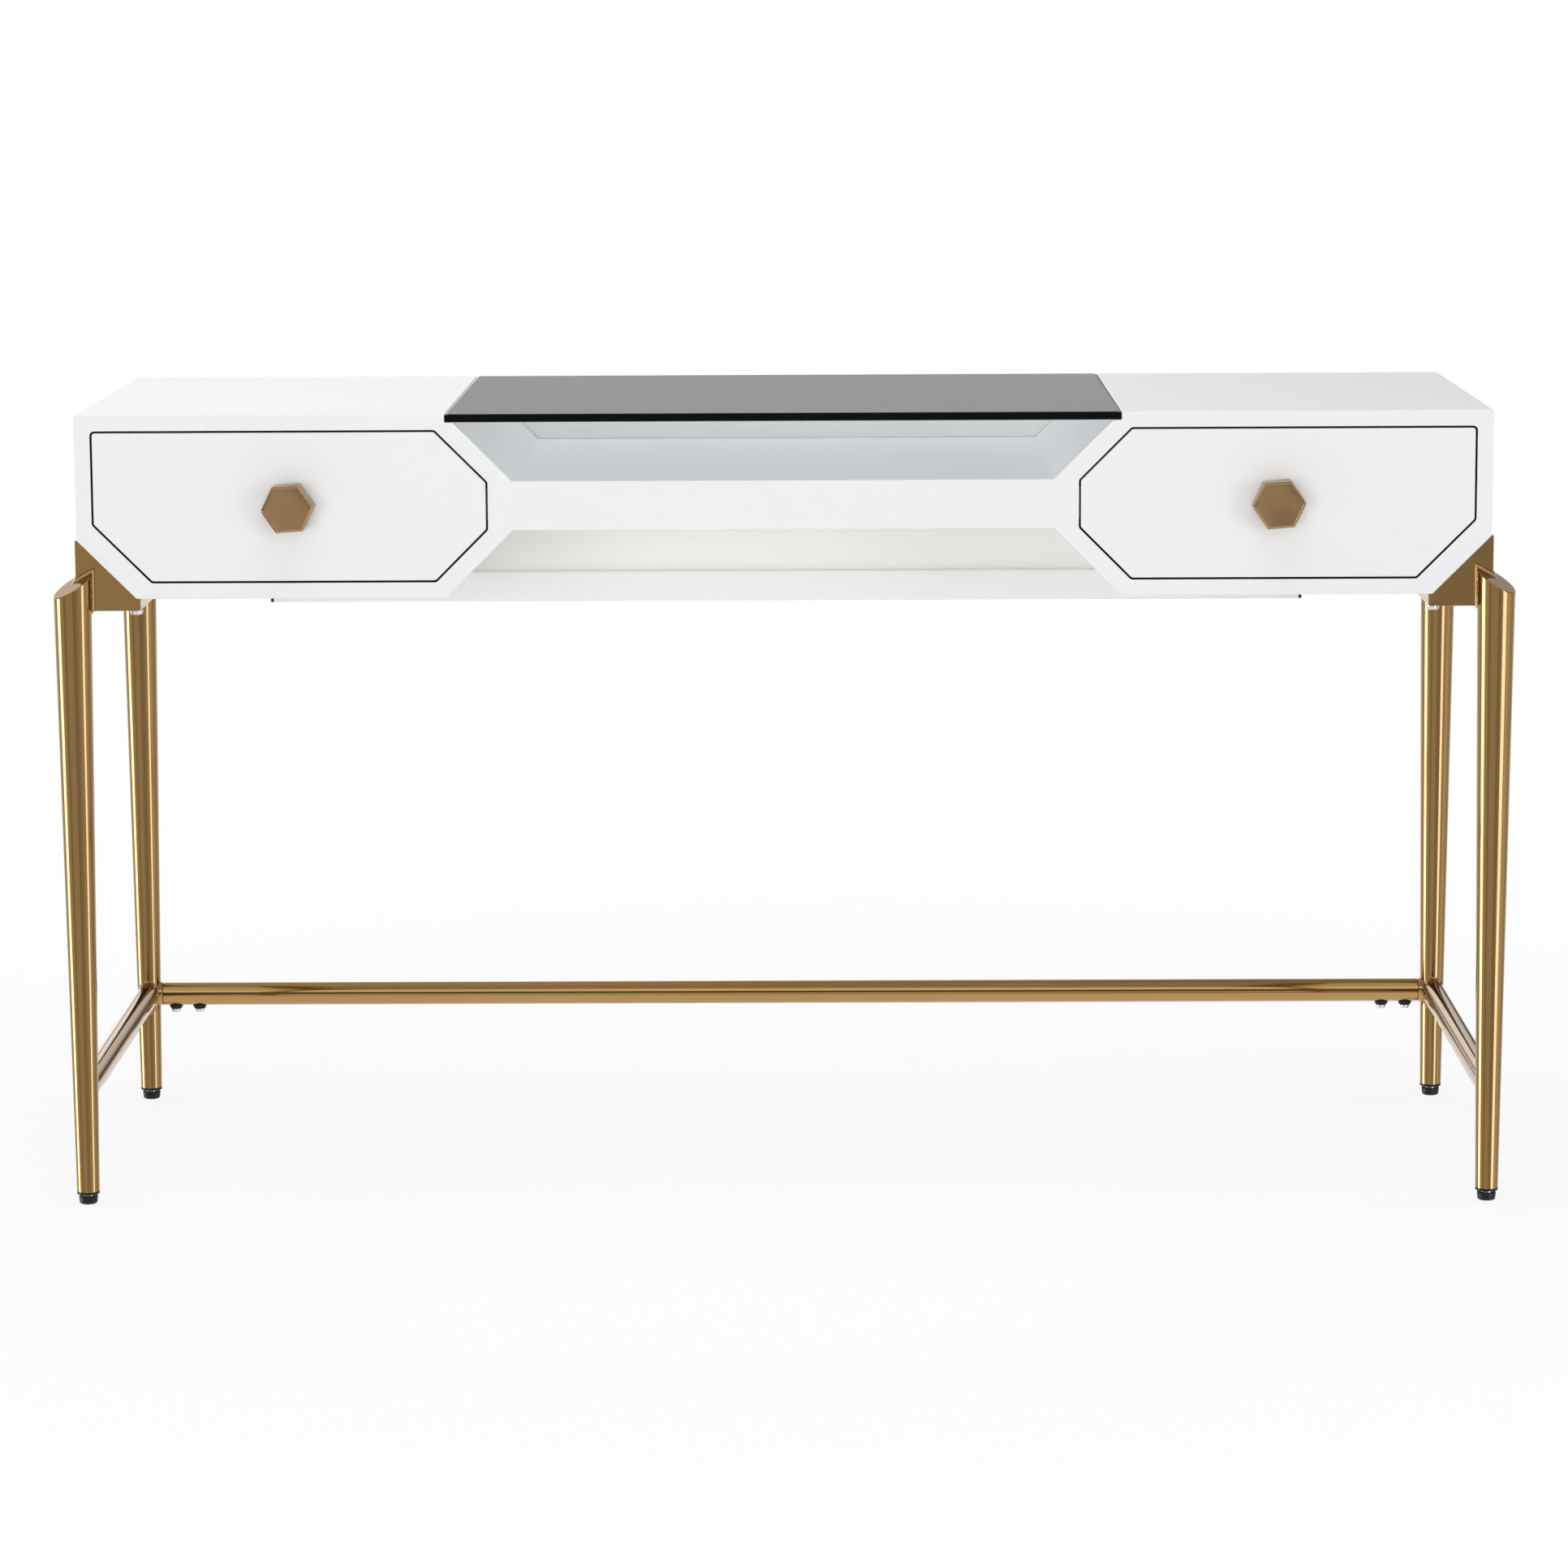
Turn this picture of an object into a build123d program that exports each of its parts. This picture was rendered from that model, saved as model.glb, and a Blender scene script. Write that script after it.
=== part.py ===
"""Dressing table: two white drawer cases with cut corners, a bridge and open shelf between them,
a dark glass centre top, and a gold tube under-frame with tapered legs.

Millimetres. +Z is up, the front faces -Y, and the origin is on the floor at the middle of the box
that the whole table fills.
"""
import math
import os

from build123d import *

# White body
body_width = 1352.0
body_depth = 465.0
body_height = 176.0
table_height = 768.0
board = 15.0                # straight boards of the drawer cases
corner_board = 17.0         # sloping boards at the inner corners
outer_cut = 56.0            # cut corner under each end of the body
opening_width = 379.0       # drawer opening between the case boards
opening_outer_cut = 56.0    # its lower outer corner
opening_inner_cut = 50.0    # its two inner corners
case_back = 6.0
bridge_height = 47.0
bridge_board = 15.0
shelf_back = 12.0
web_thick = 15.0

# Glass centre top
glass_thick = 8.0
glass_ledge = 7.5           # width of the ledge under each end of the glass
glass_gap = 0.5
glass_bevel = 3.0           # polished bevel along each end of the glass
glass_bevel_drop = 1.5

# Drawers
drawer_gap = 2.0            # line round the inset drawer front
front_thick = 16.0
box_board = 12.0
box_rear_gap = 38.0         # drawer box to the case back
box_clear = 5.0             # box side to the sloping case boards
box_floor = 6.0
box_groove = 6.0            # how far the floor enters each side
box_skirt = 8.0             # side below the floor
runner_space = 13.0         # case board to box side
runner_short = 5.0          # runner shorter than the drawer box
runner_height = 30.0
runner_reach = 9.5          # flange of the case member
runner_wall = 1.2
runner_play = 0.5
runner_setback = 2.0

# Hexagonal knobs
knob_across = 51.0          # corner to corner
knob_depth = 25.0
knob_bevel = 2.0
knob_turn = 4.5             # degrees off level, as tightened
knob_screw_d = 4.0
knob_screw_grip = 14.0      # length inside the knob
knob_screw_head_d = 8.0
knob_screw_head = 2.5

# Legs and top rails
leg_top_d = 36.5
leg_end_d = 22.0
leg_wall = 1.5
leg_out = 4.5               # leg axis outside the body's side
leg_fore = 4.0              # leg axis outside the body's front or back
leg_rise = 25.5             # slanted leg top above the rail's underside, on the axis
leg_head = 14.0             # solid head of the leg below the rail
leg_slope_out = 29.0        # degrees, top falls towards the outside
leg_slope_fore = 17.0       # degrees, top falls towards the front or back
rail_wall = 2.5
rail_proud = 2.0            # rail outside the body's side
rail_lip = 4.0              # flat seat of the rail under the body's bottom
rail_drop = 11.5            # rail below the body's bottom
rail_bolt_inset = 6.0       # bolt from the rail's inner edge
rail_bolt_end = 14.0        # first bolt from the rail's ends
rail_bolts = 3
bolt_d = 6.0
bolt_head_d = 13.0
bolt_head = 5.0
bolt_grip = 20.0            # length inside the case

# Stretchers
stretcher_d = 24.0
stretcher_wall = 1.5
stretcher_height = 113.0
spigot_collar = 3.0
spigot_length = 52.0
spigot_play = 0.2
joint_gap = 0.3
joint_bolt_d = 6.0
joint_bolt_first = 13.0
joint_bolt_pitch = 25.0
joint_bolt_head_d = 10.0
joint_bolt_head = 4.0
joint_bolt_grip = 12.0      # length inside the spigot
washer_d = 15.0
washer_foot_d = 11.0
washer_height = 3.5         # below the tube

# Stiffener tube
stiffener_size = 30.0
stiffener_wall = 1.5
stiffener_length = 1024.0
cap_face = 3.0
cap_plug = 12.0
cap_play = 0.2
screw_d = 5.0
screw_head_d = 10.0
screw_head = 3.5
screw_access_d = 14.0       # driver hole in the tube's lower wall, under each screw
screw_grip = 11.0           # length inside the boards
screw_end = 22.0            # outermost screw from the tube's end
screw_inset = 37.0          # innermost screw from the case's inner edge
web_screw_pitch = 160.0

# Levelling feet
plug_flange = 2.0
plug_length = 18.0
plug_play = 0.2
foot_pad_d = 17.5           # at the floor, before its edge is rounded
foot_top_d = 18.5
foot_round = 2.0
foot_pad = 8.0
foot_collar_d = 12.0
foot_collar = 2.0
foot_stem_d = 8.0
foot_stem = 18.0
foot_fit = 0.05             # radial running clearance of the stem

hole_play = 0.2             # radial clearance round screws and bolts

# Levels and planes
z_top = table_height
z_bottom = z_top - body_height
z_mid = z_top - body_height / 2
z_glass = z_top - glass_thick
x_side = body_width / 2
leg_x = x_side + leg_out
deep = knob_depth + body_depth + leg_fore + leg_top_d / 2
y_front = knob_depth - deep / 2
y_back = y_front + body_depth
y_mid = (y_front + y_back) / 2
leg_y = (y_front - leg_fore, y_back + leg_fore)

# Drawer opening and case outline, right-hand case, seen from the front
open_out = x_side - board
open_in = open_out - opening_width
open_top = z_top - board
open_low = z_bottom + board
slope_x = open_in + opening_inner_cut + board - corner_board * math.sqrt(2)
bridge_x = slope_x - (body_height - bridge_height) / 2
bridge_top = z_mid + bridge_height / 2
bridge_low = z_mid - bridge_height / 2
opening = [
    (open_out, open_top),
    (open_out, open_low + opening_outer_cut),
    (open_out - opening_outer_cut, open_low),
    (open_in + opening_inner_cut, open_low),
    (open_in, open_low + opening_inner_cut),
    (open_in, open_top - opening_inner_cut),
    (open_in + opening_inner_cut, open_top),
]
outline = [
    (x_side, z_top),
    (x_side, z_bottom + outer_cut),
    (x_side - outer_cut, z_bottom),
    (slope_x, z_bottom),
    (bridge_x, bridge_low),
    (bridge_x, bridge_top),
    (slope_x, z_top),
]
board_names = ["outer_side", "outer_corner", "bottom", "inner_lower_corner",
               "inner_side", "inner_upper_corner", "top"]

parts = {}


def slab(points, y0, y1):
    """Prism of a front-view outline between two depths."""
    edge = Polyline(*[(x, y0, z) for x, z in points], close=True)
    return extrude(make_face(edge), amount=y1 - y0, dir=(0, 1, 0))


def block(x0, x1, y0, y1, z0, z1):
    return slab([(x0, z0), (x1, z0), (x1, z1), (x0, z1)], y0, y1)


def inset(points, distance):
    """Convex outline moved inwards by a distance."""
    cx = sum(x for x, z in points) / len(points)
    cz = sum(z for x, z in points) / len(points)
    lines = []
    for (ax, az), (bx, bz) in zip(points, points[1:] + points[:1]):
        length = math.hypot(bx - ax, bz - az)
        nx, nz = (az - bz) / length, (bx - ax) / length
        if nx * (cx - ax) + nz * (cz - az) < 0:
            nx, nz = -nx, -nz
        lines.append((nx, nz, nx * ax + nz * az + distance))
    moved = []
    for (a, b, c), (d, e, f) in zip(lines[-1:] + lines[:-1], lines):
        det = a * e - b * d
        moved.append(((c * e - b * f) / det, (a * f - c * d) / det))
    return moved


def post(x, y, z0, z1, d, d_top=None):
    """Upright round bar, tapered when d_top is given."""
    top = d if d_top is None else d_top
    low = Align.CENTER, Align.CENTER, Align.MIN
    if top == d:
        return Pos(x, y, z0) * Cylinder(d / 2, z1 - z0, align=low)
    return Pos(x, y, z0) * Cone(d / 2, top / 2, z1 - z0, align=low)


def bar_y(x, z, y0, y1, d):
    low = Align.CENTER, Align.CENTER, Align.MIN
    return Pos(x, y0, z) * Rot(-90, 0, 0) * Cylinder(d / 2, y1 - y0, align=low)


def bar_x(y, z, x0, x1, d):
    low = Align.CENTER, Align.CENTER, Align.MIN
    return Pos(x0, y, z) * Rot(0, 90, 0) * Cylinder(d / 2, x1 - x0, align=low)


def flip(shape):
    return mirror(shape, about=Plane.YZ)


def pair(name, shape):
    """The same piece on the right and, mirrored, on the left."""
    parts["right_" + name] = shape
    parts["left_" + name] = flip(shape)


# Frame bolts and stiffener screws: places first, because the boards are drilled for them
rail_in = x_side - outer_cut - rail_lip
rail_low = z_bottom - rail_drop
bolt_x = rail_in + rail_bolt_inset
bolt_step = (body_depth - 2 * rail_bolt_end) / (rail_bolts - 1)
bolt_ys = [y_front + rail_bolt_end + i * bolt_step for i in range(rail_bolts)]
bolt_top = z_bottom + (bolt_x - (x_side - outer_cut)) + bolt_grip
bolt_hole_d = bolt_d + 2 * hole_play
stiffener_low = z_bottom - stiffener_size
screw_top = z_bottom + screw_grip
screw_hole_d = screw_d + 2 * hole_play
screw_outer = stiffener_length / 2 - screw_end
case_screw_xs = [screw_outer, slope_x + screw_inset]
web_screw_xs = [-web_screw_pitch, 0, web_screw_pitch]
screw_xs = case_screw_xs + [-x for x in case_screw_xs] + web_screw_xs

# Drawer cases. The bolts run close to the mitre between the outer corner and the bottom, and the glass
# may reach past the mitre at the top, so each of these cuts is made in both boards
shelf_x = slope_x - glass_thick
rebate = block(bridge_x, shelf_x + glass_ledge, y_front, y_back, z_glass, z_top)
for i, name in enumerate(board_names):
    j = (i + 1) % len(outline)
    piece = slab([outline[i], outline[j], opening[j], opening[i]], y_front, y_back)
    if name in ("outer_corner", "bottom"):
        for y in bolt_ys:
            piece -= post(bolt_x, y, z_bottom, bolt_top, bolt_hole_d)
    if name == "bottom":
        for x in case_screw_xs:
            piece -= post(x, y_mid, z_bottom, screw_top, screw_hole_d)
    if name in ("inner_upper_corner", "top"):
        piece -= rebate
    pair("case_" + name, piece)
back = slab(opening, y_back - case_back, y_back)
parts["case_backs"] = Compound([back, flip(back)])

# Bridge, open shelf and glass
parts["bridge_floor"] = block(-bridge_x, bridge_x, y_front, y_back, bridge_top - bridge_board, bridge_top)
parts["bridge_bottom"] = block(-bridge_x, bridge_x, y_front, y_back, bridge_low, bridge_low + bridge_board)
bridge_rails = []
for y in (y_front, y_back - bridge_board):
    bridge_rails.append(block(-bridge_x, bridge_x, y, y + bridge_board,
                              bridge_low + bridge_board, bridge_top - bridge_board))
parts["bridge_rails"] = Compound(bridge_rails)
parts["shelf_back"] = slab([(-bridge_x, bridge_top), (bridge_x, bridge_top), (shelf_x, z_glass), (-shelf_x, z_glass)],
                           y_back - shelf_back, y_back)
glass_x = shelf_x + glass_ledge - glass_gap
glass_face = glass_x - glass_bevel
z_bevel = z_top - glass_bevel_drop
parts["glass_top"] = slab([(-glass_x, z_glass), (glass_x, z_glass), (glass_x, z_bevel), (glass_face, z_top),
                           (-glass_face, z_top), (-glass_x, z_bevel)], y_front, y_back)
web = slab([(-bridge_x, bridge_low), (bridge_x, bridge_low), (slope_x, z_bottom), (-slope_x, z_bottom)],
           y_mid - web_thick / 2, y_mid + web_thick / 2)
for x in web_screw_xs:
    web -= post(x, y_mid, z_bottom, screw_top, screw_hole_d)
parts["web_panel"] = web

# Stiffener tube with end caps. The screw heads sit inside it, against its upper wall
half = stiffener_size / 2
bore = half - stiffener_wall
x_end = stiffener_length / 2
z_axis = z_bottom - half
tube = block(-x_end, x_end, y_mid - half, y_mid + half, stiffener_low, z_bottom)
tube -= block(-x_end, x_end, y_mid - bore, y_mid + bore, z_axis - bore, z_axis + bore)
screw_seat = z_axis + bore
screws = []
for x in screw_xs:
    tube -= post(x, y_mid, stiffener_low, z_axis - bore, screw_access_d)
    tube -= post(x, y_mid, screw_seat, z_bottom, screw_hole_d)
    shank = post(x, y_mid, screw_seat - screw_head, screw_top, screw_d)
    head = post(x, y_mid, screw_seat - screw_head, screw_seat, screw_d, screw_head_d)
    screws.append(shank + head)
parts["stiffener_tube"] = tube
parts["stiffener_screws"] = Compound(screws)
fit = bore - cap_play
cap = block(x_end, x_end + cap_face, y_mid - half, y_mid + half, stiffener_low, z_bottom)
cap += block(x_end - cap_plug, x_end, y_mid - fit, y_mid + fit, z_axis - fit, z_axis + fit)
parts["stiffener_caps"] = Compound([cap, flip(cap)])

# Triangular top rail: a pan that the case's cut corner closes
rail_out = x_side + rail_proud
rail_shape = [(rail_out, z_bottom + outer_cut + rail_proud), (x_side - outer_cut, z_bottom), (rail_in, z_bottom),
              (rail_in, rail_low), (rail_out, rail_low)]
rail_solid = slab(rail_shape, y_front, y_back)
hollow = [(rail_out - rail_wall, z_top), (rail_in + rail_wall, z_top),
          (rail_in + rail_wall, rail_low + rail_wall), (rail_out - rail_wall, rail_low + rail_wall)]
rail = rail_solid - slab(hollow, y_front + rail_wall, y_back - rail_wall)
bolts = []
for y in bolt_ys:
    rail -= post(bolt_x, y, rail_low, rail_low + rail_wall, bolt_hole_d)
    bolt = post(bolt_x, y, rail_low - bolt_head, bolt_top, bolt_d)
    bolt += post(bolt_x, y, rail_low - bolt_head, rail_low, bolt_head_d)
    bolts += [bolt, flip(bolt)]
pair("top_rail", rail)
parts["frame_bolts"] = Compound(bolts)

# Tapered legs, coped round the rail
leg_end = foot_pad + foot_collar + plug_flange
leg_axis_top = rail_low + leg_rise
taper = (leg_top_d - leg_end_d) / (leg_axis_top - leg_end)
out_fall = math.tan(math.radians(leg_slope_out))
fore_fall = math.tan(math.radians(leg_slope_fore))
leg_peak = leg_axis_top + leg_top_d * (out_fall + fore_fall)
hollow_top = rail_low - leg_head


def leg_d(z):
    return leg_end_d + taper * (z - leg_end)


leg_solids = []
plug_bore_d = foot_stem_d + 2 * foot_fit
plug_d = leg_end_d - 2 * leg_wall - 2 * plug_play
plugs = []
for name, y, way in (("front_leg", leg_y[0], -1), ("rear_leg", leg_y[1], 1)):
    solid = post(leg_x, y, leg_end, leg_peak, leg_end_d, leg_d(leg_peak))
    slant = Plane(origin=(leg_x, y, leg_axis_top), z_dir=(out_fall, way * fore_fall, 1))
    solid = split(solid, bisect_by=slant, keep=Keep.BOTTOM)
    leg_solids.append(solid)
    wall2 = 2 * leg_wall
    leg = solid - post(leg_x, y, leg_end, hollow_top, leg_end_d - wall2, leg_d(hollow_top) - wall2)
    pair(name, leg - rail_solid)
    plug = post(leg_x, y, leg_end - plug_flange, leg_end, leg_end_d)
    plug += post(leg_x, y, leg_end, leg_end + plug_length, plug_d)
    plug -= post(leg_x, y, leg_end - plug_flange, leg_end + plug_length, plug_bore_d)
    plugs += [plug, flip(plug)]
    foot = post(leg_x, y, 0, foot_pad, foot_pad_d, foot_top_d)
    foot = fillet(foot.faces().sort_by(Axis.Z)[0].edges(), foot_round)
    foot += post(leg_x, y, foot_pad, foot_pad + foot_collar, foot_collar_d)
    foot += post(leg_x, y, foot_pad, foot_pad + foot_collar + foot_stem, foot_stem_d)
    pair(name.replace("leg", "foot"), foot)
parts["leg_plugs"] = Compound(plugs)

# Side stretchers, coped to the legs
tube_bore_d = stretcher_d - 2 * stretcher_wall
side_bar = bar_y(leg_x, stretcher_height, leg_y[0], leg_y[1], stretcher_d)
side_stretcher = side_bar - bar_y(leg_x, stretcher_height, leg_y[0], leg_y[1], tube_bore_d)
pair("side_stretcher", side_stretcher - leg_solids[0] - leg_solids[1])

# Long rear stretcher on spigots, with two bolts under each end
collar_x = leg_x - leg_d(stretcher_height) / 2 - spigot_collar
tube_x = collar_x - joint_gap
spigot_d = tube_bore_d - 2 * spigot_play
joint_hole_d = joint_bolt_d + 2 * hole_play
joint_low = stretcher_height - stretcher_d / 2
washer_low = joint_low - washer_height
joint_top = stretcher_height - spigot_d / 2 + joint_bolt_grip
rear_y = leg_y[1]
rear_solid = bar_x(rear_y, stretcher_height, -tube_x, tube_x, stretcher_d)
stretcher = rear_solid - bar_x(rear_y, stretcher_height, -tube_x, tube_x, tube_bore_d)
spigot = bar_x(rear_y, stretcher_height, collar_x, leg_x, stretcher_d)
spigot += bar_x(rear_y, stretcher_height, collar_x - spigot_length, leg_x, spigot_d)
spigot = spigot - leg_solids[1] - side_bar
joint_bolts = []
washers = []
for i in range(2):
    x = tube_x - joint_bolt_first - i * joint_bolt_pitch
    hole = post(x, rear_y, washer_low, joint_top, joint_hole_d)
    spigot -= hole
    stretcher = stretcher - hole - flip(hole)
    washer = post(x, rear_y, washer_low, stretcher_height, washer_foot_d,
                  washer_foot_d + (washer_d - washer_foot_d) * (stretcher_height - washer_low) / washer_height)
    washer = washer & post(x, rear_y, washer_low, stretcher_height, washer_d)
    washer = washer - rear_solid - hole
    washers += [washer, flip(washer)]
    bolt = post(x, rear_y, washer_low - joint_bolt_head, joint_top, joint_bolt_d)
    bolt += post(x, rear_y, washer_low - joint_bolt_head, washer_low, joint_bolt_head_d)
    joint_bolts += [bolt, flip(bolt)]
parts["rear_stretcher"] = stretcher
parts["stretcher_spigots"] = Compound([spigot, flip(spigot)])
parts["stretcher_bolts"] = Compound(joint_bolts)
parts["stretcher_washers"] = Compound(washers)

# Drawer boxes, right-hand drawer
y_box = y_front + front_thick
y_box_end = y_back - case_back - box_rear_gap
box_out = open_out - runner_space
box_in = open_in + runner_space
box_top = open_top - opening_inner_cut + runner_space - box_clear
box_low = open_low + max(opening_outer_cut, opening_inner_cut) - runner_space + box_clear
floor_low = box_low + box_skirt
floor_top = floor_low + box_floor
floor_in = box_in + box_board - box_groove
floor_out = box_out - box_board + box_groove
box_bottom = block(floor_in, floor_out, y_box, y_box_end, floor_low, floor_top)
sides = []
for x0, x1 in ((box_in, box_in + box_board), (box_out - box_board, box_out)):
    sides.append(block(x0, x1, y_box, y_box_end, box_low, box_top) - box_bottom)
box_back = block(box_in + box_board, box_out - box_board, y_box_end - box_board, y_box_end, floor_top, box_top)
pair("drawer_sides", Compound(sides))
pair("drawer_bottom", box_bottom)
pair("drawer_back", box_back)

# Drawer fronts with knobs. Both knobs are turned the same way, so they aren't mirrored
knob_z = z_mid
knob_hole_d = knob_screw_d + 2 * hole_play
for side, way in (("right_", 1), ("left_", -1)):
    knob_x = way * (open_in + open_out) / 2
    face = slab(inset(opening, drawer_gap), y_front, y_box)
    drill = bar_y(knob_x, knob_z, y_front - knob_screw_grip, y_box, knob_hole_d)
    drill += bar_y(knob_x, knob_z, y_box - knob_screw_head, y_box, knob_screw_head_d + 2 * hole_play)
    parts[side + "drawer_front"] = (face if way > 0 else flip(face)) - drill
    hexagon = []
    for i in range(6):
        angle = math.radians(60 * i + knob_turn)
        hexagon.append((knob_x + knob_across / 2 * math.cos(angle), knob_z + knob_across / 2 * math.sin(angle)))
    knob = slab(hexagon, y_front - knob_depth, y_front)
    knob = chamfer(knob.faces().sort_by(Axis.Y)[0].edges(), knob_bevel)
    parts[side + "knob"] = knob - drill
    screw = bar_y(knob_x, knob_z, y_front - knob_screw_grip, y_box, knob_screw_d)
    screw += bar_y(knob_x, knob_z, y_box - knob_screw_head, y_box, knob_screw_head_d)
    parts[side + "knob_screw"] = screw


# Telescopic runners: three nested channels on each side of a drawer
def channel(web, lip, height):
    """Channel section, from the case board inwards: web at one distance, lips reaching to another."""
    step = runner_wall if lip > web else -runner_wall
    h = height / 2
    return [(web, -h), (lip, -h), (lip, runner_wall - h), (web + step, runner_wall - h),
            (web + step, h - runner_wall), (lip, h - runner_wall), (lip, h), (web, h)]


shrink = 2 * (runner_wall + runner_play)
nest = runner_wall + runner_play
sections = {
    "case_runners": channel(0, runner_reach, runner_height),
    "middle_runners": channel(nest, runner_space - nest - runner_play, runner_height - shrink),
    "drawer_runners": channel(runner_space, 2 * nest, runner_height - 2 * shrink),
}
y_run = y_box + runner_setback
y_run_end = y_run + (y_box_end - y_box) - runner_short
for name, section in sections.items():
    outer = slab([(open_out - u, z_mid + v) for u, v in section], y_run, y_run_end)
    inner = slab([(open_in + u, z_mid + v) for u, v in section], y_run, y_run_end)
    pair(name, Compound([outer, inner]))

os.makedirs("parts", exist_ok=True)
for name, shape in parts.items():
    export_step(shape, f"parts/{name}.step")
print(len(parts), "pieces")
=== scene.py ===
"""Looks of a dressing table: white lacquer body, dark glass centre top, gold tube under-frame.

Metres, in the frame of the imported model: +Z up, the drawers open towards -Y.
"""
import itertools
import math
from types import SimpleNamespace

import bmesh
import bpy
import numpy as np
from mathutils import Matrix, Vector


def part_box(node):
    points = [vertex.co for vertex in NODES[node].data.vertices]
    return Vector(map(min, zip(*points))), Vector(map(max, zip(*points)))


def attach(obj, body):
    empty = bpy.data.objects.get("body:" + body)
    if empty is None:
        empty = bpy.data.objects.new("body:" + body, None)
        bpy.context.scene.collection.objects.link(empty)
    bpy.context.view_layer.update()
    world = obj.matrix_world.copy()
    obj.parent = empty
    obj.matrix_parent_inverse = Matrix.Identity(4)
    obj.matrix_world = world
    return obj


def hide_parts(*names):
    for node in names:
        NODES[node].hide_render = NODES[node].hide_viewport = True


bl_info = {
    "name": "Dressing table looks",
    "version": (1, 0, 0),
    "blender": (4, 5, 0),
    "location": "3D View > Sidebar > Dressing table",
    "description": "Builds the finished surfaces of a lacquered dressing table over its packed frame",
    "category": "Object",
}

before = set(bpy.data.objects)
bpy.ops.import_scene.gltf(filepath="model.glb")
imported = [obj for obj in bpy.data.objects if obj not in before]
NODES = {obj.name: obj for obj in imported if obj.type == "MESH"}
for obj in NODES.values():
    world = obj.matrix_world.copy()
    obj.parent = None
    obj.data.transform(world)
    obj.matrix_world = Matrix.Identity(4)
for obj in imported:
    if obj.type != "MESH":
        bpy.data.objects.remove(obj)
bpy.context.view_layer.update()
MM = 0.001
SIDES = (("left", -1), ("right", 1))
# Name of each leg, its side across and its end in depth
LEGS = tuple((f"{side}_{end}", way, ahead) for side, way in SIDES
             for end, ahead in (("front", -1), ("rear", 1)))


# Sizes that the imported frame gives

def read_sizes():
    """Planes and corners of the white body and places of the legs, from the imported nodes."""
    size = SimpleNamespace()
    low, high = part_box("right_case_top")
    size.y_front, size.y_back = low.y, high.y
    size.open_top, size.z_top = low.z, high.z
    low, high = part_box("right_case_bottom")
    size.slope_x = low.x
    size.z_bottom, size.open_low = low.z, high.z
    low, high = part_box("right_case_outer_side")
    size.open_out, size.x_side = low.x, high.x
    size.outer_cut = low.z - size.z_bottom
    low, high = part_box("right_case_inner_side")
    size.bridge_x, size.open_in = low.x, high.x
    size.open_outer_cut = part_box("right_case_outer_corner")[1].z - size.open_low
    size.open_inner_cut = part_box("right_case_inner_upper_corner")[1].x - size.open_in
    size.bridge_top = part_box("bridge_floor")[1].z
    size.bridge_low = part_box("bridge_bottom")[0].z
    low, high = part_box("glass_top")
    size.z_glass = low.z
    size.rebate_x = high.x + 0.5 * MM
    size.shelf_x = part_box("shelf_back")[1].x
    size.leg = {}
    for name, _, _ in LEGS:
        low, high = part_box(f"{name}_foot")
        size.leg[name] = ((low.x + high.x) / 2, (low.y + high.y) / 2)
    size.leg_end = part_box("leg_plugs")[0].z + 2 * MM
    low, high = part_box("right_top_rail")
    size.rail_in, size.rail_out = low.x, high.x
    size.rail_low, size.rail_tip = low.z, high.z
    low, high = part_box("rear_stretcher")
    size.bar_x, size.bar_y = high.x, (low.y + high.y) / 2
    low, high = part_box("right_side_stretcher")
    size.bar_r = (high.x - low.x) / 2
    size.bar_z = (low.z + high.z) / 2
    return size


SIZE = read_sizes()


# Settings that a user would change

def length_prop(name, description, default):
    return bpy.props.FloatProperty(name=name, description=description, unit="LENGTH", min=0.00001,
                                   default=default)


def angle_prop(name, description, degrees):
    return bpy.props.FloatProperty(name=name, description=description, subtype="ANGLE",
                                   default=math.radians(degrees))


def colour_prop(name, description, default):
    return bpy.props.FloatVectorProperty(name=name, description=description, subtype="COLOR", size=3,
                                         min=0, max=1, default=default)


class LacquerLook(bpy.types.PropertyGroup):
    colour: colour_prop("Lacquer", "Colour of the lacquered boards", (0.86, 0.862, 0.864))
    # The cream tint is the panel's own tone; it is made brighter than the body's lacquer as painted light
    # against the shade under the bridge
    web_colour: colour_prop("Web panel", "Colour of the panel under the bridge, brightened as painted light", (0.915, 0.911, 0.885))
    board_colour: colour_prop("Drawer board", "Colour of the boards inside the cases", (0.70, 0.69, 0.665))
    # Painted shade: the opening walls are near black up to this depth, in place of the shade in the drawer
    # gaps
    seal_colour: colour_prop("Seal", "Colour of the painted shade inside the drawer openings", (0.030, 0.028, 0.026))
    seal: length_prop("Gap shade depth", "Depth of the painted shade inside the drawer openings", 0.02)
    edge: length_prop("Edge radius", "Rounding of the lacquered edges", 0.0010)
    gap_edge: length_prop("Gap edge", "Rounding of the edges along the drawer gaps", 0.0004)
    opening_corner: length_prop("Opening corner", "Radius of the corners of the drawer openings", 0.0045)
    front_corner: length_prop("Front corner", "Radius of the corners of the drawer fronts", 0.0025)


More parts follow.
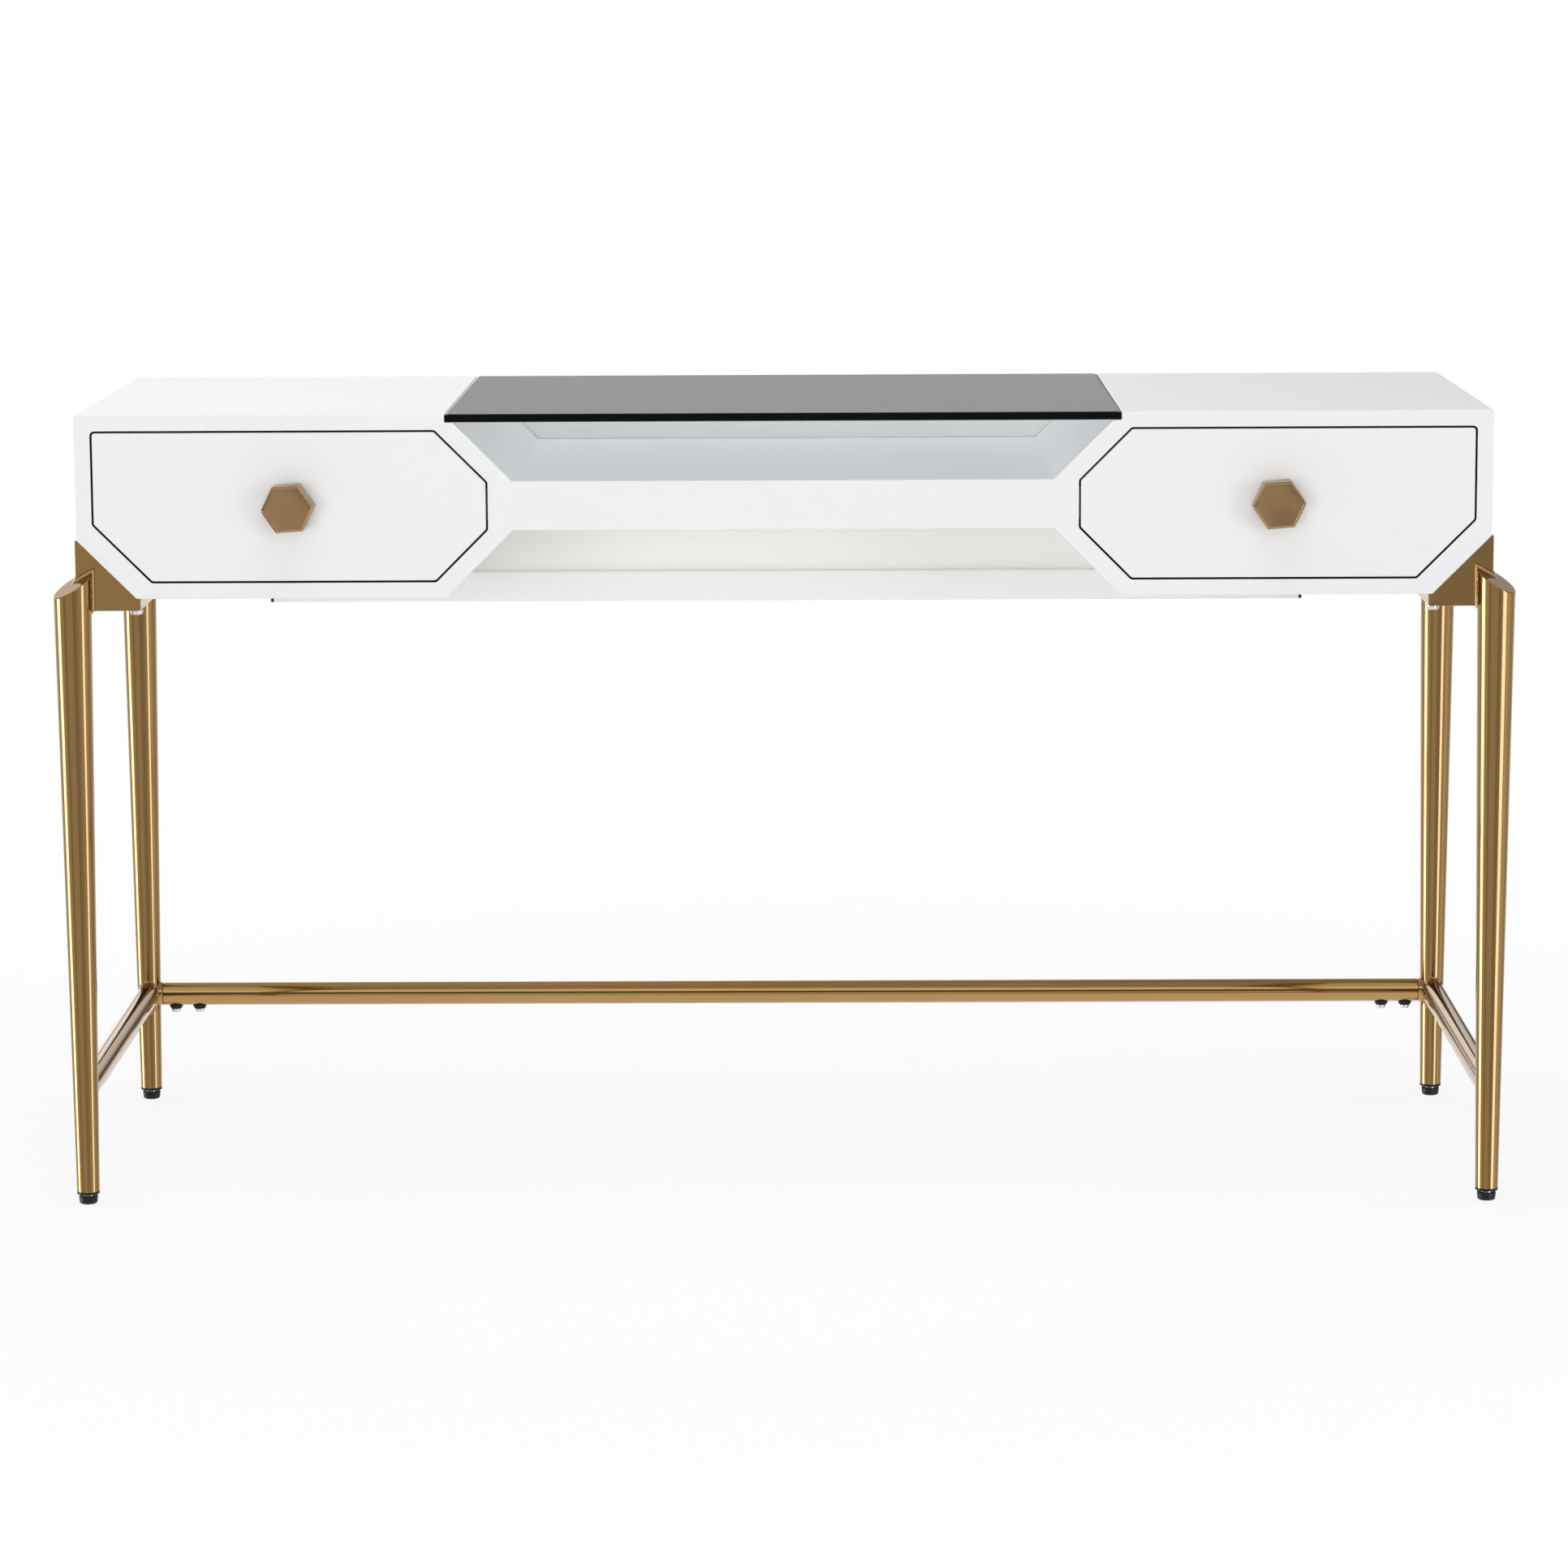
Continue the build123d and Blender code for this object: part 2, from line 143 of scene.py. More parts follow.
class MetalLook(bpy.types.PropertyGroup):
    gold: colour_prop("Gold", "Colour of the plated tube", (0.305, 0.186, 0.071))
    gold_dark: colour_prop("Gold, darker", "Darker streaks of the plated tube", (0.25, 0.149, 0.053))
    knob: colour_prop("Knob", "Colour of the knobs", (0.34, 0.215, 0.108))
    leg_top: length_prop("Leg top", "Diameter of the leg at its slanted top", 0.0365)
    leg_end: length_prop("Leg end", "Diameter of the leg at its lower end", 0.022)
    leg_rise: length_prop("Leg rise", "Slanted top above the rail's underside, on the axis", 0.0255)
    slope_out: angle_prop("Slope outwards", "Fall of the leg's top towards the outside", 29)
    slope_fore: angle_prop("Slope forwards", "Fall of the leg's top towards the front or back", 17)
    rim: length_prop("Rim", "Rounding of the leg's slanted rim", 0.0009)
    weld: length_prop("Weld", "Reach of the weld between a leg and its rail", 0.005)
    flare: length_prop("Flare", "Spread of a side stretcher where it meets a leg", 0.012)
    flare_top: bpy.props.FloatProperty(
        name="Upper flare", description="Share of the flare that rises on the leg", subtype="FACTOR",
        min=0, max=1, default=0.45)


class StageLook(bpy.types.PropertyGroup):
    eye: bpy.props.FloatVectorProperty(
        name="Camera", description="Place of the camera", subtype="TRANSLATION", size=3, unit="LENGTH",
        default=(0.0461, -5.1159, 1.1841))
    yaw: angle_prop("Yaw", "Turn of the view to the right", -0.547)
    pitch: angle_prop("Pitch", "Tilt of the view downwards", 8.999)
    roll: angle_prop("Roll", "Roll of the view", -0.290)
    lens: bpy.props.FloatProperty(
        name="Lens", description="Focal length in millimetres on a 36 mm frame", default=118.016)
    floor: colour_prop("Floor", "Colour of the floor", (0.93, 0.93, 0.93))


# Node trees

def feed(node, inputs):
    """A value on each named input of a node, or a link from another node's output."""
    for label, value in inputs.items():
        if isinstance(value, bpy.types.NodeSocket):
            node.id_data.links.new(value, node.inputs[label])
        else:
            node.inputs[label].default_value = value
    return node


def add_node(tree, kind, inputs, **settings):
    """A new node with its settings and its inputs."""
    node = tree.nodes.new(kind)
    for name, value in settings.items():
        setattr(node, name, value)
    return feed(node, inputs)


def add_group(name, inputs, outputs, kind="ShaderNodeTree"):
    """Node group with its sockets, the values that it is given and its output node."""
    tree = bpy.data.node_groups.new(name, kind)
    for label, socket, value in inputs:
        made = tree.interface.new_socket(label, in_out="INPUT", socket_type="NodeSocket" + socket)
        if value is not None:
            made.default_value = value
    for label, socket in outputs:
        tree.interface.new_socket(label, in_out="OUTPUT", socket_type="NodeSocket" + socket)
    return tree, tree.nodes.new("NodeGroupInput").outputs, tree.nodes.new("NodeGroupOutput")


def coordinates(tree, kind="Object"):
    return tree.nodes.new("ShaderNodeTexCoord").outputs[kind]


def noise(vector, scale, detail=2.0, rough=0.5):
    inputs = {"Vector": vector, "Scale": scale, "Detail": detail, "Roughness": rough}
    return add_node(vector.id_data, "ShaderNodeTexNoise", inputs).outputs["Fac"]


def spread(value, low, high, start=0.3, stop=0.7):
    """A value from a start to a stop, spread over a range from low to high."""
    inputs = {"Value": value, "From Min": start, "From Max": stop, "To Min": low, "To Max": high}
    return add_node(value.id_data, "ShaderNodeMapRange", inputs).outputs["Result"]


def calc(kind, *values):
    """Arithmetic on values, of which the first is another node's output."""
    return add_node(values[0].id_data, "ShaderNodeMath", dict(enumerate(values)), operation=kind).outputs[0]


def blend(share, first, second, kind="FLOAT"):
    """Two values, or two colours, mixed by a share."""
    inputs = {"Factor": share, "A": first, "B": second}
    return add_node(share.id_data, "ShaderNodeMix", inputs, data_type=kind).outputs["Result"]


def mix_shaders(share, first, second, end):
    """Two shaders mixed by a share, on the surface of an output node."""
    inputs = {0: share, 1: first.outputs[0], 2: second.outputs[0]}
    feed(end, {"Surface": add_node(share.id_data, "ShaderNodeMixShader", inputs).outputs[0]})


def tone_drift(name):
    """Slow drift between two tones over a surface, and a roughness that follows a finer noise."""
    tree, given, end = add_group(
        name,
        [("Tone", "Color", (0.8, 0.8, 0.8, 1)), ("Other tone", "Color", (0.7, 0.7, 0.7, 1)),
         ("Patch scale", "Float", 4.0), ("Smear scale", "Float", 30.0),
         ("Roughness low", "Float", 0.2), ("Roughness high", "Float", 0.3)],
        [("Colour", "Color"), ("Roughness", "Float")])
    where = coordinates(tree)
    patch = spread(noise(where, given["Patch scale"], 3.0), 0.0, 1.0)
    smear = noise(where, given["Smear scale"], 4.0, 0.6)
    feed(end, {
        "Colour": blend(patch, given["Tone"], given["Other tone"], "RGBA"),
        "Roughness": spread(smear, given["Roughness low"], given["Roughness high"])})
    return tree


def sprayed_film(name):
    """Orange peel and dust of a sprayed finish, as a height."""
    tree, given, end = add_group(
        name, [("Scale", "Float", 220.0), ("Dust", "Float", 0.15)], [("Height", "Float")])
    where = coordinates(tree)
    peel = noise(where, given["Scale"], 1.0)
    dust = spread(noise(where, 900.0, 0.0), 0.0, 1.0, 0.72, 0.8)
    feed(end, {"Height": calc("MULTIPLY_ADD", dust, given["Dust"], peel)})
    return tree


def brushed_grain(name):
    """Fine lines left by a polishing belt along a tube: a mask and a height."""
    tree, given, end = add_group(
        name, [("Stretch", "Vector", (1, 1, 0.02)), ("Scale", "Float", 900.0)],
        [("Grain", "Float"), ("Height", "Float")])
    inputs = {0: coordinates(tree), 1: given["Stretch"]}
    drawn = add_node(tree, "ShaderNodeVectorMath", inputs, operation="MULTIPLY").outputs[0]
    lines = noise(drawn, given["Scale"], 3.0, 0.65)
    feed(end, {"Grain": spread(lines, 0.0, 1.0), "Height": lines})
    return tree


def named_group(make):
    """The node group that a function makes, made on first use."""
    return bpy.data.node_groups.get(make.__name__) or make(make.__name__)


def place_group(tree, make, inputs):
    """A shader group's node with its own values."""
    return add_node(tree, "ShaderNodeGroup", inputs, node_tree=named_group(make)).outputs


# Finishes

def blank_material(name):
    """A material with its Principled shader."""
    material = bpy.data.materials.new(name)
    material.use_nodes = True
    return material, material.node_tree, material.node_tree.nodes["Principled BSDF"]


def bump(shader, height, strength, depth):
    inputs = {"Strength": strength, "Distance": depth, "Height": height}
    feed(shader, {"Normal": add_node(shader.id_data, "ShaderNodeBump", inputs).outputs["Normal"]})


def shade(colour, factor=1.0):
    return tuple(c * factor for c in colour) + (1.0,)


def drift(shader, tone, other, scales, rough):
    """Tone drift on a shader's colour and roughness."""
    drifting = place_group(shader.id_data, tone_drift, {
        "Tone": tone, "Other tone": other, "Patch scale": scales[0], "Smear scale": scales[1],
        "Roughness low": rough[0], "Roughness high": rough[1]})
    feed(shader, {"Base Color": drifting["Colour"], "Roughness": drifting["Roughness"]})
    return drifting["Colour"]


def painted(name, colour, other=0.97, rough=(0.2, 0.3), peel=0.04, depth=0.0003, scale=45.0, specular=0.5,
            dust=0.0):
    """Sprayed or moulded finish on board, steel, plastic or a ground edge."""
    material, tree, shader = blank_material(name)
    drift(shader, shade(colour), shade(colour, other), (3.0, 35.0), rough)
    film = place_group(tree, sprayed_film, {"Scale": scale, "Dust": dust})
    bump(shader, film["Height"], peel, depth)
    feed(shader, {"Specular IOR Level": specular})
    return material


def lined_board(name, seal_colour, seal, **board):
    """Inside walls of a case: near-black painted shade along the first stretch of the opening, then faced
    board.
    """
    material = painted(name, **board)
    tree = material.node_tree
    shader = tree.nodes["Principled BSDF"]
    bare = shader.inputs["Base Color"].links[0].from_socket
    depth = add_node(tree, "ShaderNodeSeparateXYZ", {0: coordinates(tree)}).outputs["Y"]
    # Near-black painted shade up to this depth behind the front, faced board further in
    end = SIZE.y_front + seal
    share = spread(depth, 0.0, 1.0, end, end + MM)
    feed(shader, {"Base Color": blend(share, shade(seal_colour), bare, "RGBA")})
    return material


def gold(name, stretch, tone=1.0):
    """Gold plated metal, polished, with faint lines along it. A tone above 1 brightens it as painted sheen.
    """
    look = bpy.context.scene.table_metal
    material, tree, shader = blank_material(name)
    grain = place_group(tree, brushed_grain, {"Stretch": stretch, "Scale": 700.0})
    bare = drift(shader, shade(look.gold, tone), shade(look.gold, 0.93 * tone), (7.0, 60.0), (0.10, 0.125))
    streaks = spread(grain["Grain"], 0.0, 0.45, 0.0, 1.0)
    colour = blend(streaks, bare, shade(look.gold_dark, tone), "RGBA")
    feed(shader, {"Base Color": colour, "Metallic": 1.0})
    bump(shader, grain["Height"], 0.003, 0.0002)
    return material


def satin_gold(name, colour):
    """Gold plated casting with a fine satin skin."""
    material, tree, shader = blank_material(name)
    drift(shader, shade(colour), shade(colour, 0.93), (40.0, 180.0), (0.16, 0.24))
    film = place_group(tree, sprayed_film, {"Scale": 500.0})
    bump(shader, film["Height"], 0.03, 0.0002)
    feed(shader, {"Metallic": 1.0})
    return material


def steel(name, colour, rough, stretch):
    """Bare or zinc plated steel with lines along it."""
    material, tree, shader = blank_material(name)
    grain = place_group(tree, brushed_grain, {"Stretch": stretch, "Scale": 900.0})
    drift(shader, shade(colour), shade(colour, 0.85), (60.0, 150.0), rough)
    bump(shader, grain["Height"], 0.04, 0.0002)
    feed(shader, {"Metallic": 1.0})
    return material


def tinted_glass(name):
    """Tinted glass. Shadow rays and diffuse light pass straight through, dimmed by the tint."""
    material, tree, shader = blank_material(name)
    drift(shader, (0.10, 0.105, 0.11, 1), (0.12, 0.125, 0.13, 1), (5.0, 9.0), (0.0, 0.03))
    feed(shader, {"IOR": 1.5, "Transmission Weight": 1.0})
    end = tree.nodes["Material Output"]
    tint = add_node(tree, "ShaderNodeVolumeAbsorption", {"Color": (0.05, 0.06, 0.07, 1), "Density": 8.0})
    feed(end, {"Volume": tint.outputs[0]})
    path = tree.nodes.new("ShaderNodeLightPath").outputs
    passing = calc("MAXIMUM", path["Is Shadow Ray"], path["Is Diffuse Ray"])
    clear = add_node(tree, "ShaderNodeBsdfTransparent", {"Color": (0.965, 0.985, 0.995, 1)})
    mix_shaders(passing, shader, clear, end)
    return material


def finishes():
    """The maker of each finish and the values that it takes."""
    look, metal = bpy.context.scene.table_lacquer, bpy.context.scene.table_metal
    board = dict(colour=look.board_colour, other=0.93, rough=(0.5, 0.62), peel=0.15, scale=700.0, dust=0.15)
    black = dict(other=0.85, peel=0.2, scale=1200.0, specular=0.2, dust=0.15)
    return {
        "white lacquer": (painted, dict(colour=look.colour, other=0.992, rough=(0.278, 0.292), specular=0.4)),
        # Cream tone of the web, brightened as painted light against the shade under the bridge
        "cream lacquer": (painted, dict(colour=look.web_colour, other=0.985, rough=(0.38, 0.42))),
        "faced board": (painted, board),
        # Painted shade, near black, on the opening walls in place of the shade in the drawer gaps
        "case lining": (lined_board, dict(board, seal_colour=look.seal_colour, seal=look.seal)),
        "white powder coat": (painted, dict(colour=(0.90, 0.90, 0.885), rough=(0.4, 0.5), peel=0.08,
                                            scale=420.0, dust=0.05)),
        "gold tube upright": (gold, dict(stretch=(1, 1, 0.01))),
        # The long stretcher and its collars are 1.3 times brighter than the other gold: painted sheen for the
        # brighter reflection along the bar
        "gold tube lengthwise": (gold, dict(stretch=(0.01, 1, 1), tone=1.3)),
        "gold tube depthwise": (gold, dict(stretch=(1, 0.01, 1))),
        "gold plate": (gold, dict(stretch=(1, 1, 0.05))),
        "knob gold": (satin_gold, dict(colour=metal.knob)),
        "dark glass": (tinted_glass, {}),
        "ground glass edge": (painted, dict(colour=(0.0045, 0.0045, 0.004), other=0.8, rough=(0.4, 0.55),
                                            peel=0.05, depth=0.0002, scale=900.0, specular=0.03)),
        "black plastic": (painted, dict(black, colour=(0.010, 0.010, 0.0105), rough=(0.32, 0.45))),
        "black rubber": (painted, dict(black, colour=(0.012, 0.011, 0.010), rough=(0.55, 0.7))),
        "bright fastener": (steel, dict(colour=(0.62, 0.61, 0.59), rough=(0.18, 0.26), stretch=(1, 1, 1))),
        "zinc runner": (steel, dict(colour=(0.55, 0.56, 0.57), rough=(0.28, 0.42), stretch=(1, 0.02, 1))),
    }


def finish(name):
    """The material of a finish, made on first use."""
    made = bpy.data.materials.get(name)
    if made:
        return made
    make, values = finishes()[name]
    return make(name, **values)


# Meshes

def piece(name, mesh, body, material, nodes=()):
    """A finished piece on its body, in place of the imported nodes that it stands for."""
    mesh.name = name
    mesh.materials.clear()
    mesh.materials.append(finish(material))
    made = bpy.data.objects.new(name, mesh)
    bpy.context.scene.collection.objects.link(made)
    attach(made, body)
    if nodes:
        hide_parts(*nodes)
    return made


def dress(node, material):
    """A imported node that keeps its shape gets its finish."""
    mesh = NODES[node].data
    mesh.materials.clear()
    mesh.materials.append(finish(material))


def merged(node):
    """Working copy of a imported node, with its loose triangles joined into whole faces."""
    bm = bmesh.new()
    bm.from_mesh(NODES[node].data)
    bmesh.ops.remove_doubles(bm, verts=bm.verts, dist=1e-6)
    bmesh.ops.dissolve_limit(bm, angle_limit=0.01, verts=bm.verts, edges=bm.edges)
    return bm


def smooth_mesh(bm, sharp=50):
    """Mesh with outward faces and smooth shading, except over edges sharper than an angle in degrees."""
    bmesh.ops.recalc_face_normals(bm, faces=bm.faces)
    mesh = bpy.data.meshes.new("working mesh")
    bm.to_mesh(mesh)
    bm.free()
    mesh.shade_smooth()
    if sharp:
        mesh.set_sharp_from_angle(angle=math.radians(sharp))
    return mesh


def applied(mesh, kind, inputs=None, **settings):
    """A plain mesh with the result of one modifier."""
    holder = bpy.data.objects.new("working piece", mesh)
    bpy.context.scene.collection.objects.link(holder)
    modifier = holder.modifiers.new("finish", kind)
    for name, value in settings.items():
        setattr(modifier, name, value)
    for identifier, value in (inputs or {}).items():
        modifier[identifier] = value
    bpy.context.view_layer.update()
    done = holder.evaluated_get(bpy.context.evaluated_depsgraph_get())
    made = bpy.data.meshes.new_from_object(done)
    bpy.data.objects.remove(holder)
    return made


def flats_kept(bm):
    """Smooth mesh whose large flat faces stay flat."""
    return applied(smooth_mesh(bm), "WEIGHTED_NORMAL", keep_sharp=True, weight=100)


def softened(node, width):
    """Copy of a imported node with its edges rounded."""
    return applied(smooth_mesh(merged(node), None), "BEVEL", width=width, segments=3, limit_method="ANGLE",
                   angle_limit=math.radians(30), harden_normals=True)


def bands(bm, rings):
    """Faces between neighbouring rings of vertices. A ring of one vertex closes an end."""
    count = max(map(len, rings))
    for low, high in zip(rings, rings[1:]):
        for i in range(count):
            j = (i + 1) % count
            corners = [low[i % len(low)], low[j % len(low)], high[j % len(high)], high[i % len(high)]]
            bm.faces.new(list(dict.fromkeys(corners)))


def ringed(*shells):
    """Closed shells through rings of points, as one mesh. A ring of one point closes an end."""
    bm = bmesh.new()
    for rings in shells:
        bands(bm, [[bm.verts.new(p) for p in ring] for ring in rings])
    return smooth_mesh(bm)


def circle(count):
    """Cosine and sine of equal steps round a circle."""
    return [(math.cos(t), math.sin(t)) for t in (2 * math.pi * i / count for i in range(count))]


def arc(across, up, radius, start, stop, steps=4):
    """Points of a rounding in a profile, from one angle in degrees to another."""
    turns = (math.radians(start + (stop - start) * k / steps) for k in range(steps + 1))
    return [(across + radius * math.cos(t), up + radius * math.sin(t)) for t in turns]


def lathe(profile, place=(0, 0, 0), axis="Z", count=72, sharp=50):
    """Round piece turned from a profile of radius and height. A radius of 0 closes an end."""
    bm = bmesh.new()
    rings = []
    for radius, height in profile:
        ring = circle(count) if radius > 0 else [(0, 0)]
        rings.append([bm.verts.new((radius * c, radius * v, height)) for c, v in ring])
    bands(bm, rings)
    turn = Matrix.Rotation(math.pi / 2, 4, "Y") if axis == "X" else Matrix.Identity(4)
    bmesh.ops.transform(bm, matrix=Matrix.Translation(place) @ turn, verts=bm.verts)
    return smooth_mesh(bm, sharp)


def rounded(points, radius, steps=4):
    """Outline with each corner turned into an arc. A radius of 0 keeps the corner."""
    if not isinstance(radius, (list, tuple)):
        radius = [radius] * len(points)
    out = []
    for i, here in enumerate(points):
        here = Vector(here)
        before = (Vector(points[i - 1]) - here).normalized()
        after = (Vector(points[(i + 1) % len(points)]) - here).normalized()
        half = before.angle(after) / 2
        if radius[i] <= 0:
            out.append(here)
            continue
        centre = here + (before + after).normalized() * (radius[i] / math.sin(half))
        reach = radius[i] / math.tan(half)
        start = here + before * reach - centre
        turn = start.angle_signed(here + after * reach - centre)
        for k in range(steps + 1):
            step = start.copy()
            step.rotate(Matrix.Rotation(-turn * k / steps, 2))
            out.append(centre + step)
    return out


def moved_in(points, distance, hole=False):
    """Outline moved into the material by a distance."""
    area = sum(a.x * b.y - b.x * a.y for a, b in zip(points, points[1:] + points[:1]))
    sign = 1 if (area > 0) != hole else -1
    out = []
    for i, here in enumerate(points):
        before = (here - points[i - 1]).normalized()
        after = (points[(i + 1) % len(points)] - here).normalized()
        middle = Vector((-before.y, before.x)) * sign + Vector((-after.y, after.x)) * sign
        out.append(here + middle * (distance * 2 / middle.length_squared))
    return out


def prism(outlines, front, back, edges, steps=3):
    """Board cut to outlines in the front view, with rounded edges. All but the first one are holes."""
    bm = bmesh.new()
    caps = ([], [])
    for number, (points, edge) in enumerate(zip(outlines, edges)):
        rings = []
        for y, way in ((front, 1), (back, -1)):
            for k in range(steps + 1):
                angle = math.pi / 2 * (k if way < 0 else steps - k) / steps
                inset = moved_in(points, edge * (1 - math.cos(angle)), number > 0)
                depth = y + way * edge * (1 - math.sin(angle))
                rings.append([bm.verts.new((p.x, depth, p.y)) for p in inset])
        bands(bm, rings)
        for cap, ring in zip(caps, (rings[0], rings[-1])):
            cap += [bm.edges.get(pair) for pair in zip(ring, ring[1:] + ring[:1])]
    for cap in caps:
        bmesh.ops.triangle_fill(bm, use_beauty=True, use_dissolve=False, edges=cap)
    return flats_kept(bm)


def skin(field, low, high, cell):
    """Closed mesh where a field of distances is 0, with the field's normals.

    It is found by walking the tetrahedra of a grid.
    """
    axes = [np.arange(a, b + cell, cell) for a, b in zip(low, high)]
    shape = [len(a) for a in axes]
    grid = np.stack(np.meshgrid(*axes, indexing="ij"), -1).reshape(-1, 3)
    value = field(grid)
    corner = np.arange(len(grid)).reshape(shape)[:-1, :-1, :-1].ravel()
    stride = (shape[1] * shape[2], shape[2], 1)
    cuts = {1: ((0, 1), (0, 2), (0, 3)), 2: ((0, 2), (0, 3), (1, 3), (1, 2)), 3: ((0, 3), (1, 3), (2, 3))}
    found = []
    for order in itertools.permutations(stride):
        four = corner[:, None] + np.cumsum((0,) + order)
        inside = (value[four] < 0).sum(1)
        for count, ends in cuts.items():
            some = four[inside == count]
            some = np.take_along_axis(some, np.argsort(value[some], axis=1), axis=1)
            for trio in ((0, 1, 2), (0, 2, 3))[:len(ends) - 2]:
                found.append(np.stack([some[:, ends[k]] for k in trio], 1))
    pairs = np.sort(np.concatenate(found).reshape(-1, 2), axis=1)
    pairs, index = np.unique(pairs, axis=0, return_inverse=True)
    a, b = pairs.T
    points = grid[a] + (grid[b] - grid[a]) * (value[a] / (value[a] - value[b]))[:, None]
    bm = bmesh.new()
    verts = [bm.verts.new(p) for p in points]
    for trio in index.reshape(-1, 3):
        if len(set(trio)) == 3:
            bm.faces.new([verts[k] for k in trio])
    mesh = smooth_mesh(bm, None)
    step = cell / 10
    slope = np.stack([field(points + step * way) - field(points - step * way) for way in np.eye(3)], 1)
    mesh.normals_split_custom_set_from_vertices(slope / np.linalg.norm(slope, axis=1)[:, None])
    return mesh


def copies_at_points(name):
    """Geometry Nodes tree that sets one turned template at each point of a mesh."""
    tree, given, end = add_group(
        name,
        [("Geometry", "Geometry", None), ("Template", "Object", None), ("Diameter", "Float", 1.0),
         ("Height", "Float", 1.0), ("Turn", "Float", 0.0), ("Material", "Material", None)],
        [("Geometry", "Geometry")], "GeometryNodeTree")
    source = add_node(tree, "GeometryNodeObjectInfo", {"Object": given["Template"]})
    scale = add_node(tree, "ShaderNodeCombineXYZ",
                     {"X": given["Diameter"], "Y": given["Diameter"], "Z": given["Height"]})
    number = tree.nodes.new("GeometryNodeInputIndex").outputs[0]
    turn = add_node(tree, "ShaderNodeCombineXYZ", {"Z": calc("MULTIPLY", number, given["Turn"])})
    put = add_node(tree, "GeometryNodeInstanceOnPoints", {
        "Points": given["Geometry"], "Instance": source.outputs["Geometry"],
        "Rotation": turn.outputs[0], "Scale": scale.outputs[0]})
    real = add_node(tree, "GeometryNodeRealizeInstances", {0: put.outputs[0]})
    coat = add_node(tree, "GeometryNodeSetMaterial",
                    {"Geometry": real.outputs[0], "Material": given["Material"]})
    feed(end, {0: coat.outputs[0]})
    return tree


def copies(template, points, **values):
    """Mesh of a unit template at each point, scaled to its size and turned a step further each time."""
    pattern = bpy.data.objects.new("template", template)
    bpy.context.scene.collection.objects.link(pattern)
    values["Template"] = pattern
    seeds = bpy.data.meshes.new("points")
    seeds.from_pydata(points, [], [])
    tree = named_group(copies_at_points)
    inputs = {item.identifier: values[item.name] for item in tree.interface.items_tree
              if item.in_out == "INPUT" and item.name in values}
    mesh = applied(seeds, "NODES", inputs, node_group=tree)
    bpy.data.objects.remove(pattern)
    return mesh


# Outlines in the front view

def mirrored(half):
    """Points of the right half, then those of the left half in return order."""
    return half + [(-x, z) for x, z in reversed(half)]


def body_outline():
    s = SIZE
    half = [(s.rebate_x, s.z_top), (s.x_side, s.z_top), (s.x_side, s.z_bottom + s.outer_cut),
            (s.x_side - s.outer_cut, s.z_bottom), (s.slope_x, s.z_bottom), (s.bridge_x, s.bridge_low)]
    notch = [(s.bridge_x, s.bridge_top), (s.shelf_x, s.z_glass), (s.rebate_x, s.z_glass)]
    return mirrored(half) + mirrored(notch)[len(notch):] + notch


def opening_outline(way):
    s = SIZE
    points = [(s.open_out, s.open_top), (s.open_out, s.open_low + s.open_outer_cut),
              (s.open_out - s.open_outer_cut, s.open_low), (s.open_in + s.open_inner_cut, s.open_low),
              (s.open_in, s.open_low + s.open_inner_cut), (s.open_in, s.open_top - s.open_inner_cut),
              (s.open_in + s.open_inner_cut, s.open_top)]
    return [(way * x, z) for x, z in points]


def rail_outline(way):
    s = SIZE
    points = [(s.rail_out, s.rail_tip), (s.x_side - s.outer_cut, s.z_bottom), (s.rail_in, s.z_bottom),
              (s.rail_in, s.rail_low), (s.rail_out, s.rail_low)]
    corners = [1.2 * MM, 0, 0.8 * MM, 1.5 * MM, MM]
    return rounded([(way * x, z) for x, z in points], corners)


# Operators

class TABLE_OT_body(bpy.types.Operator):
    """White lacquer body with both drawer openings, shelf back, case backs and web panel"""
    bl_idname = "table.body"
    bl_label = "Lacquer body"
    boards = ("outer_side", "outer_corner", "bottom", "inner_lower_corner", "inner_side",
              "inner_upper_corner", "top")

    def execute(self, context):
        s, look = SIZE, context.scene.table_lacquer
        outlines = [rounded(body_outline(), look.edge * 1.2)]
        nodes = ["bridge_floor", "bridge_bottom", "bridge_rails"]
        for side, way in SIDES:
            outlines.append(rounded(opening_outline(way), look.opening_corner))
            nodes += [f"{side}_case_{board}" for board in self.boards]
        mesh = prism(outlines, s.y_front, s.y_back, [look.edge, look.gap_edge, look.gap_edge])
        made = piece("lacquer_body", mesh, "table", "white lacquer", nodes)
        self.line(made.data)
        low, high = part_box("shelf_back")
        half = [(s.bridge_x, s.bridge_top), (s.shelf_x, s.z_glass)]
        shape = rounded(mirrored(half), [look.opening_corner, 0, 0, look.opening_corner])
        mesh = prism([shape], low.y, high.y, [look.edge])
        piece("shelf_panel", mesh, "table", "white lacquer", ["shelf_back"])
        # The web panel's finish carries painted light against its shade under the bridge
        dress("web_panel", "cream lacquer")
        dress("case_backs", "faced board")
        return {"FINISHED"}

    def line(self, mesh):
        """Faced board with near-black painted gap shade on the walls of both openings, which face the middle
        of their opening.
        """
        s = SIZE
        middle = Vector(((s.open_in + s.open_out) / 2, 0, (s.open_low + s.open_top) / 2))
        reach = Vector(((s.open_out - s.open_in) / 2 + MM, 1, (s.open_top - s.open_low) / 2 + MM))
        # The second material puts painted shade on the front stretch of these walls
        mesh.materials.append(finish("case lining"))
        for face in mesh.polygons:
            way = math.copysign(1, face.center.x)
            away = Vector((face.center.x * way, 0, face.center.z)) - middle
            inward = away.x * face.normal.x * way + away.z * face.normal.z < 0
            near = abs(away.x) < reach.x and abs(away.z) < reach.z
            face.material_index = 1 if inward and near and abs(face.normal.y) < 0.1 else 0


